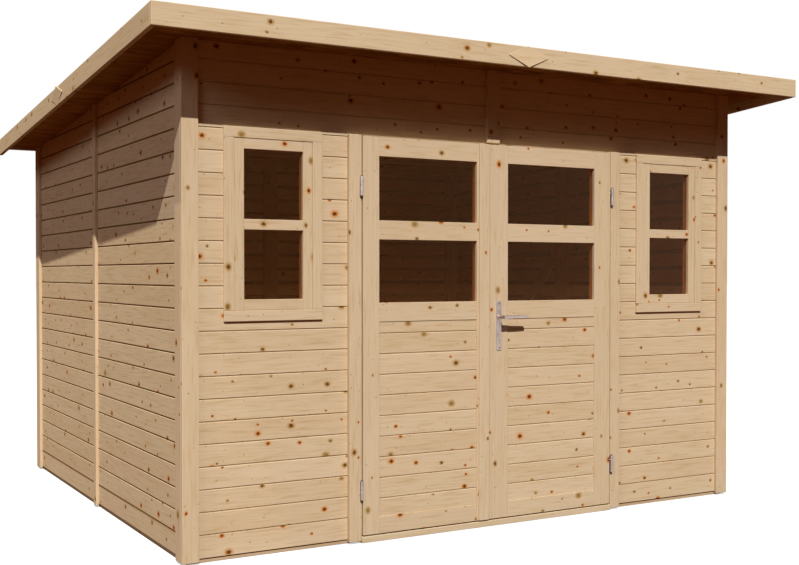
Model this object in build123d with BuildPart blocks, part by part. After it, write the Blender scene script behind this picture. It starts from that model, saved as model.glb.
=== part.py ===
"""Wooden garden shed with a mono-pitch roof, a glazed double door and two windows.

Millimetres. +Z is up and z = 0 is the ground. The front faces -Y, and the
origin is under the middle of the roof's outline.
"""
import math
import os

from build123d import *

# Walls: sizes are over the outer faces of the boards
wall_width = 2984.0
wall_depth = 2640.0
board_t = 19.0
board_pitch = 92.0
lower_rows = 19
joint_lift = 4.14
stud = 45.0
panel_gap = 0.6
seat = 0.3
overcut = 1.0
edge_round = 2.0

# Base and floor
base_h = 18.0
base_w = 80.0
base_recess = 6.0
bearer_w = 70.0
bearer_count = 4
floor_t = 19.0

# Roof: the underside of the deck falls from front to back
roof_fall = 4.07
front_overhang = 286.0
rear_overhang = 36.0
side_overhang = 222.0
eaves_z = 2074.0
deck_rise = 46.0
rear_fascia_drop = 10.0
deck_t = 19.0
covering_t = 4.0
fascia_h = 90.0
fascia_t = 20.0
diamond_w = 212.0
diamond_h = 94.0
diamond_t = 6.0
purlin_w = 44.0
purlin_h = 95.0
purlin_count = 3

# Trim boards that stand proud of the wall boards
trim_t = 16.0
trim_foot = 8.0
corner_face = 72.0
strip_w = 70.0
side_strip_w = 45.0
jamb_board_w = 60.0
strip_foot = 12.0

# Doorway and leaves
doorway_w = 1396.0
leaf_gap = 5.5
leaf_proud = 26.0
leaf_t = 40.0
leaf_foot = 14.8
leaf_head = 1755.0
head_gap = 5.0
left_leaf_w = 658.0
left_stiles = (80.0, 65.0)
right_stiles = (104.0, 100.0)
top_rail_h = 84.0
upper_pane_foot = 1391.0
lower_pane_head = 1307.0
lower_pane_foot = 1030.0
infill_head = 946.0
infill_foot = 90.0
infill_recess = 3.0
infill_t = 16.0
meeting_strip_w = 55.0
meeting_strip_t = 8.0
stop_lap = 20.0
stop_rail_h = 45.0
sill_h = 27.0
sill_front = 28.0

# Glass in its grooves
glass_t = 4.0
glass_lip = 15.0
glass_bite = 7.0

# Hinges: a barrel in front of each gap, its pins let into the wood
hinge_r = 7.5
hinge_h = 82.0
hinge_pin_r = 4.0
hinge_centres = (213.0, 1537.0)
pivot_out = 4.0
pivot_ahead = 4.0
knuckle_gap = 0.4
pin_tail = 5.0
leg_r = 3.0
leg_len = 26.0
leg_slant = 0.6
leg_clear = 0.1
pin_clear = 0.05

# Lever handle
plate_w = 27.0
plate_h = 232.0
plate_t = 3.0
plate_corner = 5.0
plate_bevel = 1.0
plate_mid = 916.0
plate_inset = 52.0
spindle_z = 956.0
keyhole_z = 846.0
spindle_r = 4.0
bore_gap = 0.5
neck_r = 8.0
lever_reach = 57.0
lever_len = 121.0
lever_waist = 34.0
lever_h = 15.0
lever_tip_h = 12.0
lever_t = 19.0
lever_round = 3.0
keyhole_r = 4.0
keyhole_leg = 12.0

# Windows
window_mid = 389.0
window_foot = 961.0
window_w = 446.0
window_h = 800.0
surround_w = 45.0
surround_t = 10.0
sash_w = 44.0
sash_proud = 7.0
sash_t = 44.0
bar_foot = 1339.0
bar_h = 44.0
sash_gap = 0.5

# Braces on the side frames
brace_w = 70.0
brace_t = 19.0
brace_rise = 1270.0

os.makedirs("parts", exist_ok=True)

half_w = wall_width / 2
roof_half_w = half_w + side_overhang
roof_depth = front_overhang + wall_depth + rear_overhang
roof_front = (diamond_t - roof_depth) / 2
roof_back = roof_front + roof_depth
front = roof_front + front_overhang
back = front + wall_depth
middle = (front + back) / 2
inner_x = half_w - board_t - stud
inner_front = front + board_t + stud
inner_back = back - board_t - stud
panel_joint = base_h + lower_rows * board_pitch + joint_lift
doorway_half = doorway_w / 2
lintel = base_h + leaf_head + head_gap
fall = math.tan(math.radians(roof_fall))


def deck_under(y):
    """Height of the deck's underside at a distance y from the middle."""
    return base_h + eaves_z + deck_rise - fall * (y - roof_front)


def finish(piece, label):
    """Labels a piece and writes its file."""
    piece.part.label = label
    export_step(piece.part, f"parts/{label}.step")


def block(x0, x1, y0, y1, z0, z1):
    """A sawn length between two corners."""
    with BuildPart() as sawn:
        with BuildSketch(Plane.XY.offset(z0)):
            with Locations(((x0 + x1) / 2, (y0 + y1) / 2)):
                Rectangle(x1 - x0, y1 - y0)
        extrude(amount=z1 - z0)
    return sawn.part


def under_roof(x0, x1, y0, y1, z0, drop=0.0):
    """A length whose top is cut to the roof's fall, drop below the deck."""
    with BuildPart() as cut:
        with BuildSketch(Plane.YZ.offset(x0)):
            with BuildLine():
                Polyline(
                    (y0, z0),
                    (y1, z0),
                    (y1, deck_under(y1) - drop),
                    (y0, deck_under(y0) - drop),
                    close=True,
                )
            make_face()
        extrude(amount=x1 - x0)
    return cut.part


def along_roof(x0, x1, y0, y1, bottom, top):
    """A length that follows the roof, from bottom to top above the deck's underside."""
    with BuildPart() as sloped:
        with BuildSketch(Plane.YZ.offset(x0)):
            with BuildLine():
                Polyline(
                    (y0, deck_under(y0) + bottom),
                    (y1, deck_under(y1) + bottom),
                    (y1, deck_under(y1) + top),
                    (y0, deck_under(y0) + top),
                    close=True,
                )
            make_face()
        extrude(amount=x1 - x0)
    return sloped.part


def eased(part, radius=edge_round):
    """The same piece with its long upright edges rounded."""
    with BuildPart() as soft:
        add(part)
        fillet(soft.edges().filter_by(Axis.Z), radius)
    return soft.part


# Base frame: plates under the walls, with flat bearers between them
plate_x = half_w - base_recess
plate_front = front + base_recess
plate_back = back - base_recess
bay_w = (2 * (plate_x - base_w) - bearer_count * bearer_w) / (bearer_count + 1)
with BuildPart() as base_frame:
    with BuildSketch():
        with Locations((0, middle)):
            Rectangle(2 * plate_x, plate_back - plate_front)
            with GridLocations(bay_w + bearer_w, 1, bearer_count + 1, 1):
                Rectangle(bay_w, plate_back - plate_front - 2 * base_w, mode=Mode.SUBTRACT)
    extrude(amount=base_h)
finish(base_frame, "base_frame")

# Floor, with a tongue that fills the doorway between the door posts
post_face = doorway_half - stop_lap
with BuildPart() as floor:
    with BuildSketch(Plane.XY.offset(base_h)):
        with Locations((0, (inner_front + inner_back) / 2)):
            Rectangle(2 * (inner_x - seat), inner_back - inner_front - 2 * seat)
        with Locations((0, front + board_t + (stud + seat) / 2)):
            Rectangle(2 * (post_face - seat), stud + seat)
    extrude(amount=floor_t)
finish(floor, "floor")

# Front wall: a panel each side of the doorway and two over it
window_foot_z = base_h + window_foot
sash_hole_w = window_w - 2 * surround_w
sash_hole_h = window_h - 2 * surround_w


def front_panel(side):
    """A panel beside the doorway with its window cut through, -1 on the left."""
    inner = side * doorway_half
    outer = side * half_w
    window_x = side * (half_w - window_mid)
    with BuildPart() as panel:
        with BuildSketch(Plane.XZ.offset(-front)):
            with Locations(((inner + outer) / 2, (base_h + panel_joint) / 2)):
                Rectangle(abs(outer - inner), panel_joint - base_h)
            with Locations((window_x, window_foot_z + window_h / 2)):
                Rectangle(sash_hole_w, sash_hole_h, mode=Mode.SUBTRACT)
        extrude(amount=-board_t)
    return panel


def front_top_panel(side):
    """One half of the band over the doorway, relieved over the leaves."""
    x0, x1 = sorted((side * panel_gap / 2, side * half_w))
    slab = under_roof(x0, x1, front, front + board_t, panel_joint + panel_gap)
    y0 = front - overcut
    y1 = front + board_t + overcut
    relief = block(-doorway_half, doorway_half, y0, y1, panel_joint, lintel)
    with BuildPart() as panel:
        add(slab)
        add(relief, mode=Mode.SUBTRACT)
    return panel


for side, name in ((-1, "left"), (1, "right")):
    finish(front_panel(side), f"front_{name}_panel")
    finish(front_top_panel(side), f"front_top_{name}_panel")


def side_panel(side, y0, y1):
    """Half of a side wall, its top cut to the roof."""
    x0, x1 = sorted((side * half_w, side * (half_w - board_t)))
    with BuildPart() as panel:
        add(under_roof(x0, x1, y0, y1, base_h))
    return panel


for side, name in ((-1, "left"), (1, "right")):
    finish(side_panel(side, front + board_t, middle - panel_gap / 2), f"{name}_wall_front_panel")
    finish(side_panel(side, middle + panel_gap / 2, back - board_t), f"{name}_wall_rear_panel")
    x0, x1 = sorted((side * panel_gap / 2, side * half_w))
    with BuildPart() as back_panel:
        add(under_roof(x0, x1, back - board_t, back, base_h))
    finish(back_panel, f"back_wall_{name}_panel")

# Corner boards: two boards make each corner, the wide one laps the other's edge
with BuildPart() as corner_trims:
    for side in (-1, 1):
        for end, wall in ((-1, front), (1, back)):
            x0, x1 = sorted((side * (half_w + trim_t), side * (half_w + trim_t - corner_face)))
            y0, y1 = sorted((wall, wall + end * trim_t))
            face_board = under_roof(x0, x1, y0, y1, trim_foot)
            x0, x1 = sorted((side * half_w, side * (half_w + trim_t)))
            y0, y1 = sorted((wall - end * seat, wall - end * corner_face))
            side_board = under_roof(x0, x1, y0, y1, trim_foot)
            add([eased(face_board), eased(side_board)])
finish(corner_trims, "corner_trims")

# Cover strips over the joints between panels
strip_top = panel_joint + strip_foot
with BuildPart() as cover_strips:
    for side in (-1, 1):
        x0, x1 = sorted((side * half_w, side * (half_w + trim_t)))
        add(eased(under_roof(x0, x1, middle - side_strip_w / 2, middle + side_strip_w / 2, trim_foot)))
    add(eased(under_roof(-strip_w / 2, strip_w / 2, front - trim_t, front, strip_top)))
    add(eased(under_roof(-side_strip_w / 2, side_strip_w / 2, back, back + trim_t, trim_foot)))
finish(cover_strips, "cover_strips")

# Side frames: posts with a sole and a head, behind the boards
rail_z = base_h + stud


def side_frame(side):
    """The studwork of a side wall: end posts, a double middle post and two rails."""
    x0, x1 = sorted((side * inner_x, side * (half_w - board_t)))
    y0 = front + board_t
    y1 = back - board_t
    whole = under_roof(x0, x1, y0, y1, base_h)
    bays = [
        under_roof(x0 - overcut, x1 + overcut, y0 + stud, middle - stud, rail_z, stud),
        under_roof(x0 - overcut, x1 + overcut, middle + stud, y1 - stud, rail_z, stud),
    ]
    with BuildPart() as frame:
        add(whole)
        add(bays, mode=Mode.SUBTRACT)
    return frame


finish(side_frame(-1), "left_wall_frame")
finish(side_frame(1), "right_wall_frame")

# Back frame
back_x = inner_x - seat
with BuildPart() as back_frame:
    add(under_roof(-back_x, back_x, inner_back, back - board_t, base_h))
    for side in (-1, 1):
        x0, x1 = sorted((side * stud, side * (back_x - stud)))
        y0 = inner_back - overcut
        y1 = back - board_t + overcut
        add(under_roof(x0, x1, y0, y1, rail_z, stud), mode=Mode.SUBTRACT)
finish(back_frame, "back_wall_frame")

# Front frame: a bay each side of the doorway, joined by the head over it
post_out = post_face + stud
bay_head = panel_joint - stud / 2
bay_back = inner_front + overcut
with BuildPart() as front_frame:
    add(under_roof(-back_x, back_x, front + board_t, inner_front, base_h))
    add(
        block(-post_out - seat, post_out + seat, front, bay_back, base_h - overcut, lintel + stop_rail_h),
        mode=Mode.SUBTRACT,
    )
    for side in (-1, 1):
        x0, x1 = sorted((side * (post_out + seat + stud), side * (back_x - stud)))
        add(block(x0, x1, front, bay_back, rail_z, bay_head), mode=Mode.SUBTRACT)
        x0, x1 = sorted((side * stud / 2, side * (back_x - stud)))
        add(
            under_roof(x0, x1, front, bay_back, lintel + 2 * stop_rail_h, stud),
            mode=Mode.SUBTRACT,
        )
finish(front_frame, "front_wall_frame")

# Door frame: two posts and a head, the leaves close against them
head_foot = lintel - head_gap - stop_lap
with BuildPart() as door_frame:
    with BuildSketch(Plane.XZ.offset(-(front + board_t))):
        with Locations((0, (base_h + lintel + stop_rail_h - seat) / 2)):
            Rectangle(2 * post_out, lintel + stop_rail_h - seat - base_h)
        with Locations((0, (base_h + head_foot) / 2)):
            Rectangle(2 * post_face, head_foot - base_h, mode=Mode.SUBTRACT)
    extrude(amount=-stud)
finish(door_frame, "door_frame")

# Hinge pivots stand before the gap between leaf and doorway
leaf_face = front - leaf_proud
pivot_x = doorway_half + pivot_out
pivot_y = leaf_face - pivot_ahead
knuckle_h = (hinge_h - knuckle_gap) / 2
frame_leg = (0, 1, 0)


def leaf_leg(side):
    """The slant of the leg that holds a leaf, on its own side of the doorway."""
    return (-side, leg_slant, 0)


def hinge_leg(x, z, toward, radius):
    """The leg of a knuckle, let into the wood behind it."""
    with BuildPart() as leg:
        with BuildSketch(Plane(origin=(x, pivot_y, z), z_dir=toward)):
            Circle(radius)
        extrude(amount=leg_len)
    return leg.part


# Boards over the joint beside the doorway, and the sill plank before the base
with BuildPart() as jamb_boards:
    for side in (-1, 1):
        x0, x1 = sorted((side * doorway_half, side * (doorway_half + jamb_board_w)))
        add(eased(block(x0, x1, front - trim_t, front, trim_foot, lintel)))
        for centre in hinge_centres:
            z = base_h + centre - (hinge_h - knuckle_h) / 2
            add(hinge_leg(side * pivot_x, z, frame_leg, leg_r + leg_clear), mode=Mode.SUBTRACT)
finish(jamb_boards, "jamb_boards")

sill_back = front + board_t - seat
with BuildPart() as door_sill:
    with BuildSketch(Plane.YZ.offset(-(doorway_half - seat))):
        with BuildLine():
            Polyline(
                (front - sill_front, 0),
                (plate_front - seat, 0),
                (plate_front - seat, base_h),
                (sill_back, base_h),
                (sill_back, sill_h),
                (front - sill_front, sill_h),
                close=True,
            )
        make_face()
    extrude(amount=2 * (doorway_half - seat))
    nose = door_sill.edges().filter_by(Axis.X).group_by(Axis.Y)[0].sort_by(Axis.Z)[-1]
    fillet(nose, edge_round)
finish(door_sill, "door_sill")

# Windows
sash_out_w = sash_hole_w - 2 * sash_gap
sash_out_h = sash_hole_h - 2 * sash_gap
sight_w = sash_hole_w - 2 * sash_w
sight_h = sash_hole_h - 2 * sash_w
window_mid_z = window_foot_z + window_h / 2
bar_mid_z = base_h + bar_foot + bar_h / 2
window_places = [(side * (half_w - window_mid), window_mid_z) for side in (-1, 1)]

with BuildPart() as window_surrounds:
    with BuildSketch(Plane.XZ.offset(-front)):
        with Locations(window_places):
            Rectangle(window_w, window_h)
            Rectangle(sash_hole_w, sash_hole_h, mode=Mode.SUBTRACT)
    extrude(amount=surround_t)
    fillet(window_surrounds.faces().sort_by(Axis.Y)[:2].edges(), edge_round)
finish(window_surrounds, "window_surrounds")

groove_front = front - sash_proud + glass_lip
with BuildPart() as window_sashes:
    with BuildSketch(Plane.XZ.offset(-(front - sash_proud))):
        with Locations(window_places):
            Rectangle(sash_out_w, sash_out_h)
            Rectangle(sight_w, sight_h, mode=Mode.SUBTRACT)
        with Locations([(x, bar_mid_z) for x, z in window_places]):
            Rectangle(sight_w, bar_h)
    extrude(amount=-sash_t)
    with BuildSketch(Plane.XZ.offset(-groove_front)):
        with Locations(window_places):
            Rectangle(sight_w + 2 * glass_bite, sight_h + 2 * glass_bite)
    extrude(amount=-(glass_t + 2 * seat), mode=Mode.SUBTRACT)
finish(window_sashes, "window_sashes")

with BuildPart() as window_glass:
    with BuildSketch(Plane.XZ.offset(-(groove_front + seat))):
        with Locations(window_places):
            Rectangle(sight_w + 2 * (glass_bite - seat), sight_h + 2 * (glass_bite - seat))
    extrude(amount=-glass_t)
finish(window_glass, "window_glass")

# Braces: one board on each side frame, from the middle post down to the rear
brace_x = inner_x - seat
brace_low = rail_z + floor_t
with BuildPart() as wall_braces:
    for side in (-1, 1):
        near = min(side * brace_x, side * (brace_x - brace_t))
        with BuildSketch(Plane.YZ.offset(near)):
            with BuildLine():
                Polyline(
                    (middle - stud / 2, brace_low + brace_rise),
                    (middle + stud, brace_low + brace_rise),
                    (inner_back - seat, brace_low + brace_w),
                    (inner_back - seat, brace_low),
                    (inner_back - brace_w, brace_low),
                    (middle - stud / 2, brace_low + brace_rise - brace_w),
                    close=True,
                )
            make_face()
        extrude(amount=brace_t)
finish(wall_braces, "wall_braces")

# Roof
purlin_bay = (inner_back - inner_front) / (purlin_count + 1)
with BuildPart() as purlins:
    for row in range(purlin_count):
        y = inner_front + (row + 1) * purlin_bay
        add(along_roof(-inner_x, inner_x, y - purlin_w / 2, y + purlin_w / 2, -purlin_h, 0))
finish(purlins, "purlins")

deck_x = roof_half_w - fascia_t
deck_front = roof_front + fascia_t
deck_back = roof_back - fascia_t
with BuildPart() as roof_deck:
    add(along_roof(-deck_x, deck_x, deck_front, deck_back, 0, deck_t))
finish(roof_deck, "roof_deck")

with BuildPart() as roof_covering:
    add(along_roof(-deck_x, deck_x, deck_front, deck_back, deck_t, deck_t + covering_t))
finish(roof_covering, "roof_covering")

fascia_foot = base_h + eaves_z
with BuildPart() as front_fascia:
    add(block(-roof_half_w, roof_half_w, roof_front, deck_front, fascia_foot, fascia_foot + fascia_h))
    fillet(front_fascia.faces().sort_by(Axis.Y)[0].edges(), edge_round)
finish(front_fascia, "front_fascia")

with BuildPart() as rear_fascia:
    add(along_roof(-deck_x, deck_x, deck_back, roof_back, -rear_fascia_drop, deck_t + covering_t))
finish(rear_fascia, "rear_fascia")

for side, name in ((-1, "left"), (1, "right")):
    x0, x1 = sorted((side * deck_x, side * roof_half_w))
    with BuildPart() as bargeboard:
        add(along_roof(x0, x1, deck_front, roof_back, -deck_rise, fascia_h - deck_rise))
        fillet(bargeboard.faces().sort_by(Axis.X)[0 if side < 0 else -1].edges(), edge_round)
    finish(bargeboard, f"{name}_bargeboard")

# Diamond plates over the joints at the middle of the fascias
barge_mid_z = deck_under(0) - deck_rise + fascia_h / 2
front_mid_z = fascia_foot + fascia_h / 2


def diamond(plane):
    """A diamond plate standing out of a plane, its long axis level."""
    with BuildPart() as plate:
        with BuildSketch(plane):
            with BuildLine():
                Polyline(
                    (-diamond_w / 2, 0),
                    (0, -diamond_h / 2),
                    (diamond_w / 2, 0),
                    (0, diamond_h / 2),
                    close=True,
                )
            make_face()
        extrude(amount=diamond_t)
    return plate.part


with BuildPart() as fascia_plates:
    add(diamond(Plane(origin=(0, roof_front, front_mid_z), x_dir=(1, 0, 0), z_dir=(0, -1, 0))))
    for side in (-1, 1):
        along = (0, math.cos(math.radians(roof_fall)), -math.sin(math.radians(roof_fall)))
        add(diamond(Plane(origin=(side * roof_half_w, 0, barge_mid_z), x_dir=along, z_dir=(side, 0, 0))))
finish(fascia_plates, "fascia_plates")

# Door leaves
leaf_z0 = base_h + leaf_foot
leaf_z1 = base_h + leaf_head
left_leaf_x = -doorway_half + leaf_gap
right_leaf_x = left_leaf_x + left_leaf_w + leaf_gap
right_leaf_w = doorway_w - 3 * leaf_gap - left_leaf_w
glass_y = leaf_face + glass_lip
pane_rows = (
    (base_h + upper_pane_foot, leaf_z1 - top_rail_h),
    (base_h + lower_pane_foot, base_h + lower_pane_head),
)
infill_row = (base_h + infill_foot, base_h + infill_head)
bore_x = right_leaf_x + plate_inset
bore_z = base_h + spindle_z


def opening(row, x0, x1, grow=0.0):
    """A rectangle between two stiles and two heights, grown on every side."""
    with BuildSketch() as hole:
        with Locations(((x0 + x1) / 2, (row[0] + row[1]) / 2)):
            Rectangle(x1 - x0 + 2 * grow, row[1] - row[0] + 2 * grow)
    return hole.sketch


def leaf_frame(x0, width, stiles):
    """Stiles and rails in one frame, grooved for its two panes."""
    s0 = x0 + stiles[0]
    s1 = x0 + width - stiles[1]
    with BuildPart() as frame:
        with BuildSketch(Plane.XZ.offset(-leaf_face)):
            add(opening((leaf_z0, leaf_z1), x0, x0 + width))
            for row in pane_rows + (infill_row,):
                add(opening(row, s0, s1), mode=Mode.SUBTRACT)
        extrude(amount=-leaf_t)
        fillet(frame.faces().sort_by(Axis.Y)[0].outer_wire().edges(), edge_round)
        with BuildSketch(Plane.XZ.offset(-glass_y)):
            for row in pane_rows:
                add(opening(row, s0, s1, glass_bite))
        extrude(amount=-(glass_t + 2 * seat), mode=Mode.SUBTRACT)
    return frame


def leaf_glass(x0, width, stiles):
    """The two panes of a leaf, a little smaller than their grooves."""
    with BuildPart() as panes:
        with BuildSketch(Plane.XZ.offset(-(glass_y + seat))):
            for row in pane_rows:
                add(opening(row, x0 + stiles[0], x0 + width - stiles[1], glass_bite - seat))
        extrude(amount=-glass_t)
    return panes


def leaf_infill(x0, width, stiles):
    """The boarded lower panel of a leaf."""
    with BuildPart() as boards:
        with BuildSketch(Plane.XZ.offset(-(leaf_face + infill_recess))):
            add(opening(infill_row, x0 + stiles[0], x0 + width - stiles[1], -seat))
        extrude(amount=-infill_t)
    return boards


def hung(frame, side):
    """A leaf frame with the holes for its hinge legs."""
    with BuildPart() as drilled:
        add(frame.part)
        for centre in hinge_centres:
            z = base_h + centre + (hinge_h - knuckle_h) / 2
            add(hinge_leg(side * pivot_x, z, leaf_leg(side), leg_r + leg_clear), mode=Mode.SUBTRACT)
    return drilled


def spindle_hole(frame):
    """Bores the lever's spindle hole through the right leaf."""
    with BuildPart() as bored:
        add(frame.part)
        with BuildSketch(Plane.XZ.offset(-leaf_face)):
            with Locations((bore_x, bore_z)):
                Circle(spindle_r + bore_gap)
        extrude(amount=-leaf_t, mode=Mode.SUBTRACT)
    return bored


left_frame = hung(leaf_frame(left_leaf_x, left_leaf_w, left_stiles), -1)
finish(left_frame, "left_leaf_frame")
finish(leaf_glass(left_leaf_x, left_leaf_w, left_stiles), "left_leaf_glass")
finish(leaf_infill(left_leaf_x, left_leaf_w, left_stiles), "left_leaf_infill")

right_frame = hung(spindle_hole(leaf_frame(right_leaf_x, right_leaf_w, right_stiles)), 1)
finish(right_frame, "right_leaf_frame")
finish(leaf_glass(right_leaf_x, right_leaf_w, right_stiles), "right_leaf_glass")
finish(leaf_infill(right_leaf_x, right_leaf_w, right_stiles), "right_leaf_infill")

meeting_x = left_leaf_x + left_leaf_w
with BuildPart() as meeting_strip:
    strip = block(
        meeting_x - meeting_strip_w, meeting_x, leaf_face - meeting_strip_t, leaf_face, leaf_z0, leaf_z1
    )
    add(eased(strip))
finish(meeting_strip, "meeting_strip")

# Hinges: the lower knuckle and its pin stay on the frame, the upper one turns


def knuckle(x, z):
    """One knuckle, from z upwards."""
    with BuildPart() as barrel:
        with BuildSketch(Plane.XY.offset(z)):
            with Locations((x, pivot_y)):
                Circle(hinge_r)
        extrude(amount=knuckle_h)
    return barrel.part


def hinge_pin(x, z, radius):
    """The pin in both knuckles, with a tail below z."""
    with BuildPart() as pin:
        with BuildSketch(Plane.XY.offset(z - pin_tail)):
            with Locations((x, pivot_y)):
                Circle(radius)
        extrude(amount=hinge_h + pin_tail - knuckle_gap)
    return pin.part


with BuildPart() as frame_hinges:
    for side in (-1, 1):
        for centre in hinge_centres:
            foot = base_h + centre - hinge_h / 2
            add(knuckle(side * pivot_x, foot))
            add(hinge_leg(side * pivot_x, foot + knuckle_h / 2, frame_leg, leg_r))
            add(hinge_pin(side * pivot_x, foot, hinge_pin_r))
finish(frame_hinges, "frame_hinges")

for side, name in ((-1, "left"), (1, "right")):
    with BuildPart() as leaf_hinges:
        for centre in hinge_centres:
            foot = base_h + centre - hinge_h / 2
            shoulder = foot + knuckle_h + knuckle_gap
            add(knuckle(side * pivot_x, shoulder))
            add(hinge_leg(side * pivot_x, shoulder + knuckle_h / 2, leaf_leg(side), leg_r))
            add(hinge_pin(side * pivot_x, foot, hinge_pin_r + pin_clear), mode=Mode.SUBTRACT)
    finish(leaf_hinges, f"{name}_leaf_hinges")

# Handle plates, one on each face of the right leaf
leaf_back = leaf_face + leaf_t


def handle_plate(face, outward):
    """A long bevelled plate with a bore for the spindle and a keyhole."""
    with BuildPart() as plate:
        with BuildSketch(Plane.XZ.offset(-face)):
            with Locations((bore_x, base_h + plate_mid)):
                RectangleRounded(plate_w, plate_h, plate_corner)
            with Locations((bore_x, bore_z)):
                Circle(spindle_r + bore_gap, mode=Mode.SUBTRACT)
            with Locations((bore_x, base_h + keyhole_z)):
                Circle(keyhole_r, mode=Mode.SUBTRACT)
            with Locations((bore_x, base_h + keyhole_z - keyhole_leg / 2)):
                Rectangle(keyhole_r, keyhole_leg, mode=Mode.SUBTRACT)
        extrude(amount=-outward * plate_t)
        shown = plate.faces().sort_by(Axis.Y)[0 if outward < 0 else -1]
        chamfer(shown.outer_wire().edges(), plate_bevel)
    return plate.part


with BuildPart() as handle_plates:
    add(handle_plate(leaf_face, -1))
    add(handle_plate(leaf_back, 1))
finish(handle_plates, "handle_plates")


# Lever: a turned neck and a tapering arm, alike on both faces
def lever_half(plate_face, outward):
    """The neck and arm on one face; outward is -1 on the front."""
    arm_face = plate_face + outward * lever_reach
    with BuildPart() as half:
        with BuildSketch(Plane.XZ.offset(-arm_face)):
            with BuildLine():
                Polyline(
                    (bore_x - neck_r, bore_z - neck_r),
                    (bore_x + neck_r, bore_z - neck_r),
                    (bore_x + lever_waist, bore_z - lever_h / 2),
                    (bore_x + lever_len, bore_z - lever_tip_h / 2),
                    (bore_x + lever_len, bore_z + lever_tip_h / 2),
                    (bore_x + lever_waist, bore_z + lever_h / 2),
                    (bore_x + neck_r, bore_z + neck_r),
                    (bore_x - neck_r, bore_z + neck_r),
                    close=True,
                )
            make_face()
        extrude(amount=outward * lever_t)
        fillet(half.edges(), lever_round)
        with BuildSketch(Plane.XZ.offset(-(plate_face + outward * seat))):
            with Locations((bore_x, bore_z)):
                Circle(neck_r)
        extrude(amount=-outward * (lever_reach - lever_t / 2 - seat))
    return half.part


front_plate = leaf_face - plate_t
back_plate = leaf_back + plate_t
with BuildPart() as lever:
    with BuildSketch(Plane.XZ.offset(-(front_plate - seat))):
        with Locations((bore_x, bore_z)):
            Circle(spindle_r)
    extrude(amount=-(back_plate - front_plate + 2 * seat))
    add(lever_half(front_plate, -1))
    add(lever_half(back_plate, 1))
finish(lever, "lever")
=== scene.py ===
"""The look of the garden shed: boards, trims, leaves, windows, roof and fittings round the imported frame.

Metres. +Z is up, the front faces -Y and the studio's floor is at z = 0.
"""

import logging
import math
import random
from contextlib import contextmanager
from dataclasses import dataclass
from enum import Enum
from typing import Any, Callable, Iterator, Sequence

import bmesh
import bpy
import numpy as np
from mathutils import Matrix, Vector


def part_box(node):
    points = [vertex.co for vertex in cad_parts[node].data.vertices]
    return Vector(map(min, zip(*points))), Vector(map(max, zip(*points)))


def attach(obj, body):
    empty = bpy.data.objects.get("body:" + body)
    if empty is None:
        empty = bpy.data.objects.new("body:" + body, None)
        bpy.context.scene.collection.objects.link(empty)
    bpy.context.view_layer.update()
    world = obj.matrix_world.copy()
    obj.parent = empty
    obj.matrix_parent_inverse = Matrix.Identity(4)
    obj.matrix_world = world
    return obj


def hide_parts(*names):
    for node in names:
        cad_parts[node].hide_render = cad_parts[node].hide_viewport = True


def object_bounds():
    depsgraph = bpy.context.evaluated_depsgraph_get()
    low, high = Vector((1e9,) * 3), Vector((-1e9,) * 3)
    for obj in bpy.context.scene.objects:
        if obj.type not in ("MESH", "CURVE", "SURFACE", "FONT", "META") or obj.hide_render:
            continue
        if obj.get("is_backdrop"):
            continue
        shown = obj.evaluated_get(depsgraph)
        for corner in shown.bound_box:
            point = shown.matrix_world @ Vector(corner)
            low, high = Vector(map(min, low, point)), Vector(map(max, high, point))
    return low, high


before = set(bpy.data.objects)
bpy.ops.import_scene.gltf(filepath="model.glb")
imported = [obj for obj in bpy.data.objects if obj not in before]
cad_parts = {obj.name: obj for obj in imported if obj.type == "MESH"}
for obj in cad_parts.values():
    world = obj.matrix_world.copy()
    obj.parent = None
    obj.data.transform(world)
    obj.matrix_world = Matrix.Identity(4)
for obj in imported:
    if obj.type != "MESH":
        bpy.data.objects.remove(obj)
CAD_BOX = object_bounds()

LOG = logging.getLogger("shed")
GRAIN_MAP = "Grain"

Colour = tuple[float, float, float]
Node = bpy.types.Node
Piece = bpy.types.Object
Place = Sequence[float]
Socket = bpy.types.NodeSocket
Test = Callable[[Vector, Vector], bool]

WHITE: Colour = (1.0, 1.0, 1.0)
EASE = 0.002

X = Vector((1, 0, 0))
Y = Vector((0, 1, 0))
Z = Vector((0, 0, 1))


class Body(Enum):
    """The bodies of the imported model."""

    SHED = "shed"
    LEFT_DOOR = "left_door"
    RIGHT_DOOR = "right_door"
    LEVER = "lever"


class Slot(Enum):
    """The record's material slots, but for the panes', which stay as packed."""

    WALL = "wall_boards"
    TRIM = "trim_boards"
    TIMBER = "frame_timber"
    ROOF = "roof_boards"
    FELT = "felt"
    DOOR = "door_timber"
    STEEL = "steel"


class Side(Enum):
    """The two sides of the shed, as the sign of X."""

    LEFT = -1
    RIGHT = 1

    @property
    def label(self) -> str:
        """The side's word in the names of nodes and pieces."""
        return self.name.lower()

    @property
    def door(self) -> Body:
        """The body of the side's door leaf."""
        return Body.LEFT_DOOR if self is Side.LEFT else Body.RIGHT_DOOR


class Wall(Enum):
    """The four walls, as quarter turns from the front."""

    FRONT = 0
    RIGHT = 1
    BACK = 2
    LEFT = 3


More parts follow.
